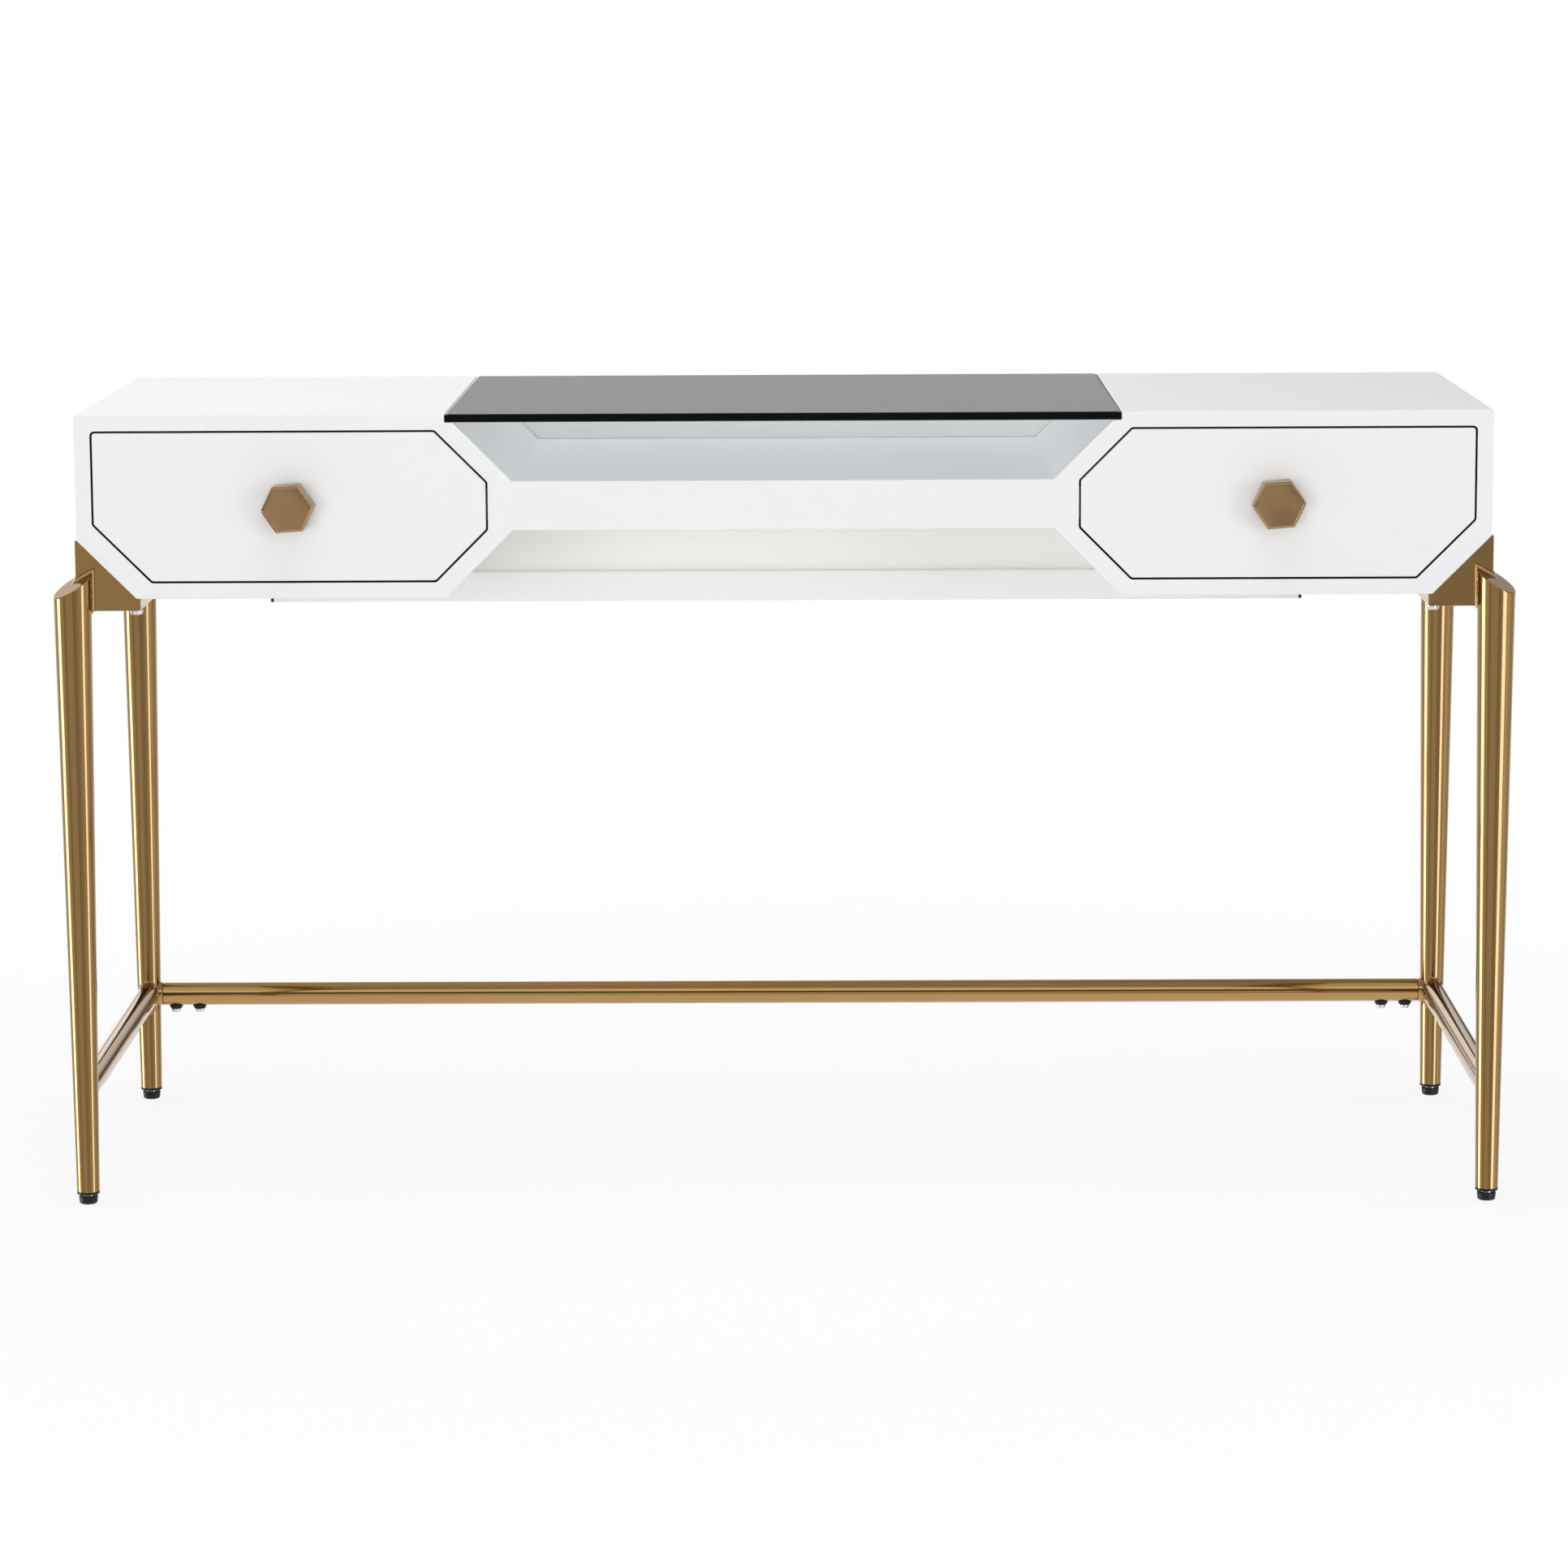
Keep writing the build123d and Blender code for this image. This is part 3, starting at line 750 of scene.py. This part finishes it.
class TABLE_OT_drawer_fronts(bpy.types.Operator):
    """Inset drawer fronts with cut corners"""
    bl_idname = "table.drawer_fronts"
    bl_label = "Drawer fronts"

    def execute(self, context):
        look = context.scene.table_lacquer
        for side, way in SIDES:
            low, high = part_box(f"{side}_drawer_front")
            gap = SIZE.open_top - high.z
            points = [Vector(p) for p in opening_outline(way)]
            shape = rounded(moved_in(points, gap), look.front_corner)
            mesh = prism([shape], low.y, high.y, [look.gap_edge])
            nodes = [f"{side}_drawer_front"]
            piece(f"{side}_front", mesh, f"{side}_drawer", "white lacquer", nodes)
        return {"FINISHED"}


class TABLE_OT_knobs(bpy.types.Operator):
    """Hexagonal knobs with polished bevels"""
    bl_idname = "table.knobs"
    bl_label = "Knobs"
    edge: length_prop("Edge", "Rounding of a knob's edges", 0.0005)

    def execute(self, context):
        for side, _ in SIDES:
            mesh = softened(f"{side}_knob", self.edge)
            piece(f"{side}_hexagon_knob", mesh, f"{side}_drawer", "knob gold", [f"{side}_knob"])
            dress(f"{side}_knob_screw", "bright fastener")
        return {"FINISHED"}


class TABLE_OT_glass(bpy.types.Operator):
    """Dark glass plate with ground edges"""
    bl_idname = "table.glass"
    bl_label = "Glass top"
    bevel: length_prop("Bevel", "Width of the bevel at each end", 0.003)
    drop: length_prop("Drop", "Depth of the bevel at each end", 0.0008)
    arris: length_prop("Arris", "Width of the ground arris", 0.0006)
    lift: length_prop("Lift", "Gap between the glass and its rebate", 0.0001)

    def execute(self, context):
        low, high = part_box("glass_top")
        half = [(high.x - self.bevel, high.z), (high.x, high.z - self.drop), (high.x, low.z + self.lift)]
        shape = [Vector(p) for p in mirrored(half)]
        mesh = prism([shape], low.y, high.y, [self.arris], 1)
        made = piece("glass_plate", mesh, "table", "dark glass", ["glass_top"])
        made.data.materials.append(finish("ground glass edge"))
        # Faces that look up or down are clear, and the others are ground
        least = 0.4
        for face in made.data.polygons:
            face.material_index = 0 if abs(face.normal.z) > least else 1
        return {"FINISHED"}


class TABLE_OT_top_rails(bpy.types.Operator):
    """Triangular rails that carry the cases on their cut corners"""
    bl_idname = "table.top_rails"
    bl_label = "Top rails"
    edge: length_prop("Edge", "Rounding of a rail's ends", 0.0006)

    def execute(self, context):
        for side, way in SIDES:
            mesh = prism([rail_outline(way)], SIZE.y_front, SIZE.y_back, [self.edge])
            piece(f"{side}_rail", mesh, "table", "gold plate", [f"{side}_top_rail"])
        return {"FINISHED"}


def leg_top(look):
    """Height of the slanted top on a leg's axis, and its slopes across and in depth."""
    return SIZE.rail_low + look.leg_rise, math.tan(look.slope_out), math.tan(look.slope_fore)


def leg_radius(z):
    look = bpy.context.scene.table_metal
    share = (z - SIZE.leg_end) / (leg_top(look)[0] - SIZE.leg_end)
    return (look.leg_end + (look.leg_top - look.leg_end) * share) / 2


class TABLE_OT_legs(bpy.types.Operator):
    """Tapered legs with slanted tops"""
    bl_idname = "table.legs"
    bl_label = "Legs"

    def execute(self, context):
        look = context.scene.table_metal
        end, (top, out, fore) = SIZE.leg_end, leg_top(look)
        chamfer, waste = 0.6 * MM, 30 * MM
        profile = [(0, end), (leg_radius(end) - chamfer, end), (leg_radius(end + chamfer), end + chamfer),
                   (leg_radius(top + waste), top + waste), (0, top + waste)]
        for name, way, ahead in LEGS:
            x, y = SIZE.leg[name]
            bm = bmesh.new()
            bm.from_mesh(lathe(profile, (x, y, 0), count=96))
            cut = bmesh.ops.bisect_plane(
                bm, geom=bm.verts[:] + bm.edges[:] + bm.faces[:], plane_co=(x, y, top),
                plane_no=(way * out, ahead * fore, 1), clear_outer=True)
            rim = [e for e in cut["geom_cut"] if isinstance(e, bmesh.types.BMEdge)]
            bmesh.ops.edgeloop_fill(bm, edges=rim)
            bmesh.ops.bevel(bm, geom=rim, offset=look.rim, segments=3, profile=0.5, affect="EDGES")
            piece(f"{name}_tube", flats_kept(bm), "table", "gold tube upright", [f"{name}_leg"])
        return {"FINISHED"}


class TABLE_OT_welds(bpy.types.Operator):
    """Weld fillets between the legs and their rails"""
    bl_idname = "table.welds"
    bl_label = "Welds"
    cell: length_prop("Cell", "Grid step of the weld's surface", 0.0008)
    skin: length_prop("Skin", "Depth of the weld under the metal beside it", 0.0006)
    sink: length_prop("Sink", "How far the weld's outer face is set back", 0.00008)

    def execute(self, context):
        for name, way, ahead in LEGS:
            mesh = self.weld(context.scene.table_metal, *SIZE.leg[name], way, ahead)
            piece(f"{name}_weld", mesh, "table", "gold plate")
        return {"FINISHED"}

    def weld(self, look, x, y, way, ahead):
        s, (top, out, fore) = SIZE, leg_top(look)
        near = s.y_front if ahead < 0 else s.y_back
        seat = s.x_side - s.outer_cut

        def leg(p):
            cone = np.hypot(p[:, 0] - x, p[:, 1] - y) - leg_radius(p[:, 2])
            slant = (p[:, 0] - x) * way * out + (p[:, 1] - y) * ahead * fore + p[:, 2] - top
            return np.maximum(cone, slant / math.sqrt(out ** 2 + fore ** 2 + 1))

        def rail(p):
            across = p[:, 0] * way
            slope = (p[:, 2] - s.z_bottom - across + seat) / math.sqrt(2)
            front = (p[:, 1] - near) * ahead
            return np.max((across - s.rail_out, s.rail_low - p[:, 2], front, slope), axis=0)

        def field(p):
            a, b = leg(p), rail(p)
            least, most = np.minimum(a, b), np.maximum(a, b)
            mixed = np.maximum(look.weld - (most - least), 0) ** 2 / (4 * look.weld)
            return np.max((least - mixed + self.sink, -least - self.skin, most - look.weld), axis=0)

        room = look.leg_top / 2 + look.weld + self.cell
        below, above = s.rail_low - look.weld - 20 * MM, top + 30 * MM
        return skin(field, (x - room, y - room, below), (x + room, y + room, above), self.cell)


def flare_rings(centre, along, way, flare, upper=1.0, steps=8):
    """Rings of a round bar from a leg's surface outwards. It spreads down and, by a share, up the leg."""
    r, across, sink = SIZE.bar_r, 1 - along, 0.3 * MM

    def surface(c, height):
        """Distance from the leg's axis to its surface beside the bar."""
        return math.sqrt(max(leg_radius(height) ** 2 - (r * c) ** 2, 0))

    rings = []
    for t in (k / steps for k in range(steps + 1)):
        ring = []
        for c, v in circle(64):
            height, lift = centre[2] + r * v, flare * v * (upper if v > 0 else 1)
            near, far = surface(c, height), surface(c, height + lift)
            reach = (1 - t) ** 2 * (far - sink) + 2 * t * (1 - t) * near + t ** 2 * (near + flare * abs(v))
            place = [0, 0, height + (1 - t) ** 2 * lift]
            place[across] = centre[across] + r * c
            place[along] = centre[along] + way * reach
            ring.append(place)
        rings.append(ring)
    return rings


class TABLE_OT_stretchers(bpy.types.Operator):
    """Side stretchers, long rear stretcher and its spigots"""
    bl_idname = "table.stretchers"
    bl_label = "Stretchers"
    edge: length_prop("Edge", "Rounding of the long stretcher's ends", 0.001)
    gap: length_prop("Joint gap", "Line between the long stretcher and its collars", 0.0003)
    root: length_prop("Root", "Spread of a collar where it meets the leg", 0.0022)
    round: length_prop("Rounding", "Rounded end of a collar", 0.0004)
    wall: length_prop("Wall", "Tube wall and play round a spigot", 0.0017)
    reach: length_prop("Reach", "Length of a spigot inside the tube", 0.052)

    def execute(self, context):
        s, look = SIZE, context.scene.table_metal
        r, z = s.bar_r, s.bar_z
        for side, _ in SIDES:
            fore, rear = ((*s.leg[f"{side}_{end}"], z) for end in ("front", "rear"))
            rings = [[fore]] + flare_rings(fore, 1, 1, look.flare, look.flare_top)
            rings += flare_rings(rear, 1, -1, look.flare, look.flare_top)[::-1] + [[rear]]
            nodes = [f"{side}_side_stretcher"]
            piece(f"{side}_bar", ringed(rings), "table", "gold tube depthwise", nodes)
        half = arc(r - self.edge, s.bar_x - self.edge, self.edge, 0, 90)
        profile = [(0, -s.bar_x)] + [(a, -b) for a, b in reversed(half)] + half + [(0, s.bar_x)]
        mesh = lathe(profile, (0, s.bar_y, z), "X")
        piece("long_bar", mesh, "table", "gold tube lengthwise", ["rear_stretcher"])
        collars = ringed(*(self.collar(side, way) for side, way in SIDES))
        piece("collars", collars, "table", "gold tube lengthwise", ["stretcher_spigots"])
        return {"FINISHED"}

    def collar(self, side, way):
        """Rings of a collar on a rear leg, with the spigot that goes into the long stretcher."""
        r, z, spigot = SIZE.bar_r, SIZE.bar_z, SIZE.bar_r - self.wall
        x, y = SIZE.leg[f"{side}_rear"]
        rings = [[(x, y, z)]] + flare_rings((x, y, z), 0, -way, self.root)
        for radius, inside in ((r, -self.round), (r - self.round, 0), (spigot, 0), (spigot, self.reach)):
            place = way * (SIZE.bar_x + self.gap - inside)
            rings.append([(place, y + radius * c, z + radius * v) for c, v in circle(64)])
        return rings + [[(place, y, z)]]


def domed_bolt(shank):
    """Unit bolt, head downwards: diameter 1, head height 1, with a socket and a shank."""
    socket = [(0, -0.55), (0.2, -0.55), (0.24, -1.0), (0.3, -1.0)]
    turns = (math.pi / 2 * k / 5 for k in range(1, 6))
    dome = [(0.3 + 0.2 * math.sin(t), -1 + 0.75 * (1 - math.cos(t))) for t in turns]
    return lathe(socket + dome + [(0.5, 0), (0.3, 0), (0.3, shank), (0, shank)], count=24, sharp=40)


def islands(node):
    """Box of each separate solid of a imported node."""
    bm = merged(node)
    left, found = set(bm.verts), []
    while left:
        todo, seen = [left.pop()], []
        while todo:
            here = todo.pop()
            seen.append(here.co.copy())
            for edge in here.link_edges:
                other = edge.other_vert(here)
                if other in left:
                    left.remove(other)
                    todo.append(other)
        found.append((Vector(map(min, *seen)), Vector(map(max, *seen))))
    bm.free()
    return sorted(found, key=lambda box: tuple(box[0]))


class TABLE_OT_fasteners(bpy.types.Operator):
    """Bolts under the rails and the long stretcher, and screws of the stiffener"""
    bl_idname = "table.fasteners"
    bl_label = "Fasteners"
    turn: angle_prop("Turn", "Turn of each bolt against the one before", 40.107)

    def execute(self, context):
        for node, name, head in (("stretcher_bolts", "joint_bolts", 4 * MM),
                                 ("frame_bolts", "rail_bolts", 5 * MM),
                                 ("stiffener_screws", "tube_screws", 3.5 * MM)):
            boxes = islands(node)
            points = [((low.x + high.x) / 2, (low.y + high.y) / 2, low.z + head) for low, high in boxes]
            size = boxes[-1][1] - boxes[-1][0]
            bolt = domed_bolt((size.z - head) / head)
            mesh = copies(bolt, points, Diameter=size.x, Height=head, Turn=self.turn,
                          Material=finish("bright fastener"))
            piece(name, mesh, "table", "bright fastener", [node])
        dress("stretcher_washers", "black rubber")
        return {"FINISHED"}


class TABLE_OT_feet(bpy.types.Operator):
    """Black plugs in the leg ends and levelling feet"""
    bl_idname = "table.feet"
    bl_label = "Levelling feet"
    pad: length_prop("Pad", "Height of a foot's pad", 0.008)

    def execute(self, context):
        for name, _, _ in LEGS:
            low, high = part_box(f"{name}_foot")
            place = (*SIZE.leg[name], 0)
            mesh = lathe(self.pad_profile((high.x - low.x) / 2), place, count=64)
            piece(f"{name}_pad", mesh, f"{name}_leveller", "black plastic", [f"{name}_foot"])
            mesh = lathe(self.stem_profile(high.z), place, count=36)
            piece(f"{name}_stem", mesh, f"{name}_leveller", "bright fastener")
        dress("leg_plugs", "black plastic")
        return {"FINISHED"}

    def pad_profile(self, wide):
        """Rounded sole, sides that widen a little upwards, and a shallow hollow in the top."""
        top, sole, lean, brim, hollow = self.pad, 2 * MM, 0.5 * MM, 0.8 * MM, 6.8 * MM
        side = arc(wide - sole - lean, sole, sole, -90, -4, 5) + arc(wide - brim, top - brim, brim, 0, 90, 3)
        return [(0, 0)] + side + [(wide - 2 * brim, top), (hollow, top - brim), (0, top - brim)]

    def stem_profile(self, top):
        """Nut on the pad with the threaded stem in it."""
        nut, stem, edge, tip = 6 * MM, 4 * MM, 0.4 * MM, 0.6 * MM
        low, high = self.pad - MM, self.pad + 2 * MM
        return [(0, low), (nut, low), (nut, high - edge), (nut - edge, high), (stem, high),
                (stem, top - tip), (stem - tip, top), (0, top)]


class TABLE_OT_stiffener(bpy.types.Operator):
    """White steel tube under the cases with black end caps"""
    bl_idname = "table.stiffener"
    bl_label = "Stiffener"
    corner: length_prop("Corner", "Rounding along the tube", 0.002)
    cap_edge: length_prop("Cap edge", "Rounding of the end caps", 0.001)

    def execute(self, context):
        low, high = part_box("stiffener_tube")
        least = 0.7 * (high.x - low.x)
        bm = merged("stiffener_tube")

        def outside(vert):
            """Whether a point is on an outer corner of the tube's section."""
            return all(min(abs(vert.co[k] - low[k]), abs(vert.co[k] - high[k])) < 0.01 * MM for k in (1, 2))

        along = [e for e in bm.edges if e.calc_length() > least and all(map(outside, e.verts))]
        bmesh.ops.bevel(bm, geom=along, offset=self.corner, segments=4, profile=0.5, affect="EDGES")
        bmesh.ops.triangulate(bm, faces=bm.faces)
        mesh = flats_kept(bm)
        piece("stiffener_bar", mesh, "table", "white powder coat", ["stiffener_tube"])
        mesh = softened("stiffener_caps", self.cap_edge)
        piece("tube_caps", mesh, "table", "black plastic", ["stiffener_caps"])
        return {"FINISHED"}


class TABLE_OT_drawer_boxes(bpy.types.Operator):
    """Boards and runners of the drawer boxes"""
    bl_idname = "table.drawer_boxes"
    bl_label = "Drawer boxes"

    def execute(self, context):
        for side, _ in SIDES:
            for board in ("drawer_sides", "drawer_bottom", "drawer_back"):
                dress(f"{side}_{board}", "faced board")
            for member in ("case_runners", "middle_runners", "drawer_runners"):
                dress(f"{side}_{member}", "zinc runner")
        return {"FINISHED"}


# Stage

# Brightness of the room as the metal and the glass mirror it. RING is the part below eye level, by the turn
# in degrees, 180 towards the camera. The rises are above it, by the height of the direction, in front of the
# table and behind it.
RING = ((1, 1.1), (50, 1.0), (66, 0.9), (76, 0.9), (84.5, 11.5), (95.5, 11.5), (103, 0.95), (120, 1.0),
        (137, 0.5), (145, 0.85), (169, 0.88), (177, 0.84), (185.2, 0.81), (186.3, 0.57), (197, 0.57),
        (215, 0.75), (227, 0.95), (240, 0.9), (256, 1.4), (277, 1.0), (296, 0.7), (315, 1.0), (359, 1.1))
FRONT_RISE = ((0.01, 0.9), (0.06, 0.9), (0.085, 0.15), (0.35, 0.15), (0.4, 1.5), (0.6, 1.5), (0.75, 1.0),
              (0.99, 1.0))
BACK_RISE = ((0.01, 0.48), (0.11, 0.48), (0.15, 1.35), (0.32, 1.35), (0.42, 0.6), (0.99, 0.6))
BRIGHTEST = 20.0

# Name, place, aim, width, height and glow of each lamp that lights the object without a reflection of its own
LAMPS = (
    ("front", (-1.9, -6.0, 0.75), (-0.1, 0, 0.6), 4.2, 1.6, 4.9),
    ("high front", (0.8, -4.8, 2.6), (0, 0, 0.7), 3.2, 1.3, 1.9),
    ("overhead", (-0.4, -0.3, 3.3), (0, 0, 0.6), 3.0, 1.8, 2.4),
    ("right key", (4.2, -4.3, 0.95), (0, -0.2, 0.72), 1.8, 1.5, 5.0),
    ("right side", (4.5, 0.8, 1.25), (0, 0, 0.6), 1.6, 1.6, 4.0),
    ("left side", (-4.5, 0.8, 1.25), (0, 0, 0.6), 1.6, 1.6, 2.6),
    ("back", (-0.5, 4.8, 1.3), (0, 0, 0.6), 3.2, 1.6, 2.4),
)
# A cool strip on the right that lights nothing and only shows as a reflection in the gold
STRIP = ("right strip", (1.6, -1.08, 0.15), (0, -0.1, 0.15), 0.54, 1.8, 3.7)
STRIP_COLOUR = (0.84, 1.0, 1.5)


def seen_rays(tree):
    """1 for rays from the camera, a mirror or glass, 0 for light on the object."""
    path = tree.nodes.new("ShaderNodeLightPath").outputs
    direct = calc("MAXIMUM", path["Is Camera Ray"], path["Is Glossy Ray"])
    return calc("MAXIMUM", direct, path["Is Transmission Ray"])


def levels(value, span, stops):
    """Brightness over a value, between stops of value and level."""
    node = add_node(value.id_data, "ShaderNodeValToRGB", {0: calc("DIVIDE", value, span)})
    ramp = node.color_ramp
    for place, level in stops:
        ramp.elements.new(place / span).color = shade([level] * 3, 1 / BRIGHTEST)
    ramp.elements.remove(ramp.elements[0])
    ramp.elements.remove(ramp.elements[-1])
    return calc("MULTIPLY", node.outputs[0], BRIGHTEST)


class TABLE_OT_stage(bpy.types.Operator):
    """Pale floor, soft studio light and the camera"""
    bl_idname = "table.stage"
    bl_label = "Stage"

    def execute(self, context):
        scene, look = context.scene, context.scene.table_stage
        self.floor(scene, look)
        self.world(scene)
        for lamp in LAMPS:
            self.lamp(scene, *lamp)
        strip = self.lamp(scene, *STRIP)
        strip.data.color = STRIP_COLOUR
        strip.visible_diffuse, strip.visible_glossy = False, True
        self.camera(scene, look)
        scene.view_settings.view_transform = "Standard"
        return {"FINISHED"}

    def lamp(self, scene, name, place, aim, wide, tall, glow):
        data = bpy.data.lights.new(name, "AREA")
        data.shape, data.size, data.size_y = "RECTANGLE", wide, tall
        data.energy = glow * math.pi * wide * tall
        made = bpy.data.objects.new(name, data)
        made.location = place
        made.rotation_euler = (Vector(aim) - Vector(place)).to_track_quat("-Z", "Y").to_euler()
        made.visible_camera = made.visible_transmission = made.visible_glossy = False
        scene.collection.objects.link(made)
        return made

    def floor(self, scene, look):
        """Floor that is white to the camera, but for a share near the object that keeps its shadow."""
        bm = bmesh.new()
        bmesh.ops.create_grid(bm, x_segments=1, y_segments=1, size=20)
        bmesh.ops.translate(bm, vec=(0, 0, -0.4 * MM), verts=bm.verts)
        mesh = bpy.data.meshes.new("floor")
        bm.to_mesh(mesh)
        bm.free()
        material, tree, shader = blank_material("pale floor")
        feed(shader, {"Base Color": shade(look.floor), "Roughness": 0.9, "Specular IOR Level": 0.1})
        white = tree.nodes.new("ShaderNodeEmission")
        away = add_node(tree, "ShaderNodeVectorMath", {0: coordinates(tree)}, operation="LENGTH")
        whiteness = spread(away.outputs["Value"], 0.87, 1.0, 0.9, 2.2)
        share = calc("MULTIPLY", seen_rays(tree), whiteness)
        mix_shaders(share, shader, white, tree.nodes["Material Output"])
        mesh.materials.append(material)
        made = bpy.data.objects.new("floor", mesh)
        scene.collection.objects.link(made)
        made.visible_glossy = False

    def world(self, scene):
        """Even light on the object, white for the camera, and a room of bright and dark parts for mirrors."""
        world = bpy.data.worlds.new("soft room")
        world.use_nodes = True
        tree = world.node_tree
        light = feed(tree.nodes["Background"], {"Color": (1, 1, 1, 1), "Strength": 0.36})
        axes = add_node(tree, "ShaderNodeSeparateXYZ", {0: coordinates(tree, "Generated")}).outputs
        ground, skyline, eye_line = (-0.34, -0.27), (-0.09, -0.04), (0.045, 0.065)

        def share(axis, start, stop):
            return spread(axes[axis], 0.0, 1.0, start, stop)

        turn = calc("ARCTAN2", axes["X"], calc("MULTIPLY", axes["Y"], -1.0))
        low = levels(spread(turn, 0.0, 360.0, -math.pi, math.pi), 360.0, RING)
        low = blend(share("Z", *ground), 1.2, low)
        before = levels(share("Z", 0.0, 1.0), 1.0, FRONT_RISE)
        behind = levels(share("Z", 0.0, 1.0), 1.0, BACK_RISE)
        tilt = blend(share("Z", 0.1, 0.15), 1.0, spread(axes["X"], 1.15, 0.75, -0.12, 0.12))
        behind = calc("MULTIPLY", behind, tilt)
        glass_ends = spread(axes["X"], 1.5, 0.05, -0.095, 0.075)
        behind = blend(share("Z", *eye_line), glass_ends, behind)
        high = blend(share("Y", -0.2, 0.2), before, behind)
        room = blend(share("Z", *skyline), low, high)
        camera = tree.nodes.new("ShaderNodeLightPath").outputs["Is Camera Ray"]
        shown = add_node(tree, "ShaderNodeBackground",
                         {"Color": (1, 1, 1, 1), "Strength": calc("MAXIMUM", camera, room)})
        mix_shaders(seen_rays(tree), light, shown, tree.nodes["World Output"])
        scene.world = world

    def camera(self, scene, look):
        level = math.cos(look.pitch)
        ahead = Vector((math.sin(look.yaw) * level, math.cos(look.yaw) * level, -math.sin(look.pitch)))
        right = Vector((math.cos(look.yaw), -math.sin(look.yaw), 0))
        up = right.cross(ahead)
        c, s = math.cos(look.roll), math.sin(look.roll)
        right, up = right * c + up * s, up * c - right * s
        data = bpy.data.cameras.new("camera")
        data.sensor_width, data.lens = 36, look.lens
        data.clip_end = 60
        made = bpy.data.objects.new("camera", data)
        turn = Matrix((right, up, -ahead)).transposed()
        made.matrix_world = Matrix.Translation(look.eye) @ turn.to_4x4()
        scene.collection.objects.link(made)
        scene.camera = made


class TABLE_PT_looks(bpy.types.Panel):
    bl_idname = "TABLE_PT_looks"
    bl_label = "Dressing table"
    bl_space_type = "VIEW_3D"
    bl_region_type = "UI"
    bl_category = "Dressing table"

    def draw(self, context):
        for operator in OPERATORS:
            self.layout.operator(operator.bl_idname)
        for look in (context.scene.table_lacquer, context.scene.table_metal, context.scene.table_stage):
            box = self.layout.box()
            for name in look.bl_rna.properties.keys():
                if name not in ("rna_type", "name"):
                    box.prop(look, name)


OPERATORS = (TABLE_OT_body, TABLE_OT_drawer_fronts, TABLE_OT_knobs, TABLE_OT_glass, TABLE_OT_top_rails,
             TABLE_OT_legs, TABLE_OT_welds, TABLE_OT_stretchers, TABLE_OT_fasteners, TABLE_OT_feet,
             TABLE_OT_stiffener, TABLE_OT_drawer_boxes, TABLE_OT_stage)
LOOKS = {"table_lacquer": LacquerLook, "table_metal": MetalLook, "table_stage": StageLook}
CLASSES = (*LOOKS.values(), *OPERATORS, TABLE_PT_looks)


def register():
    for cls in CLASSES:
        bpy.utils.register_class(cls)
    for name, look in LOOKS.items():
        setattr(bpy.types.Scene, name, bpy.props.PointerProperty(type=look))


def unregister():
    for name in LOOKS:
        delattr(bpy.types.Scene, name)
    for cls in reversed(CLASSES):
        bpy.utils.unregister_class(cls)


def main():
    register()
    for operator in OPERATORS:
        area, name = operator.bl_idname.split(".")
        getattr(getattr(bpy.ops, area), name)()


if __name__ == "__main__":
    main()
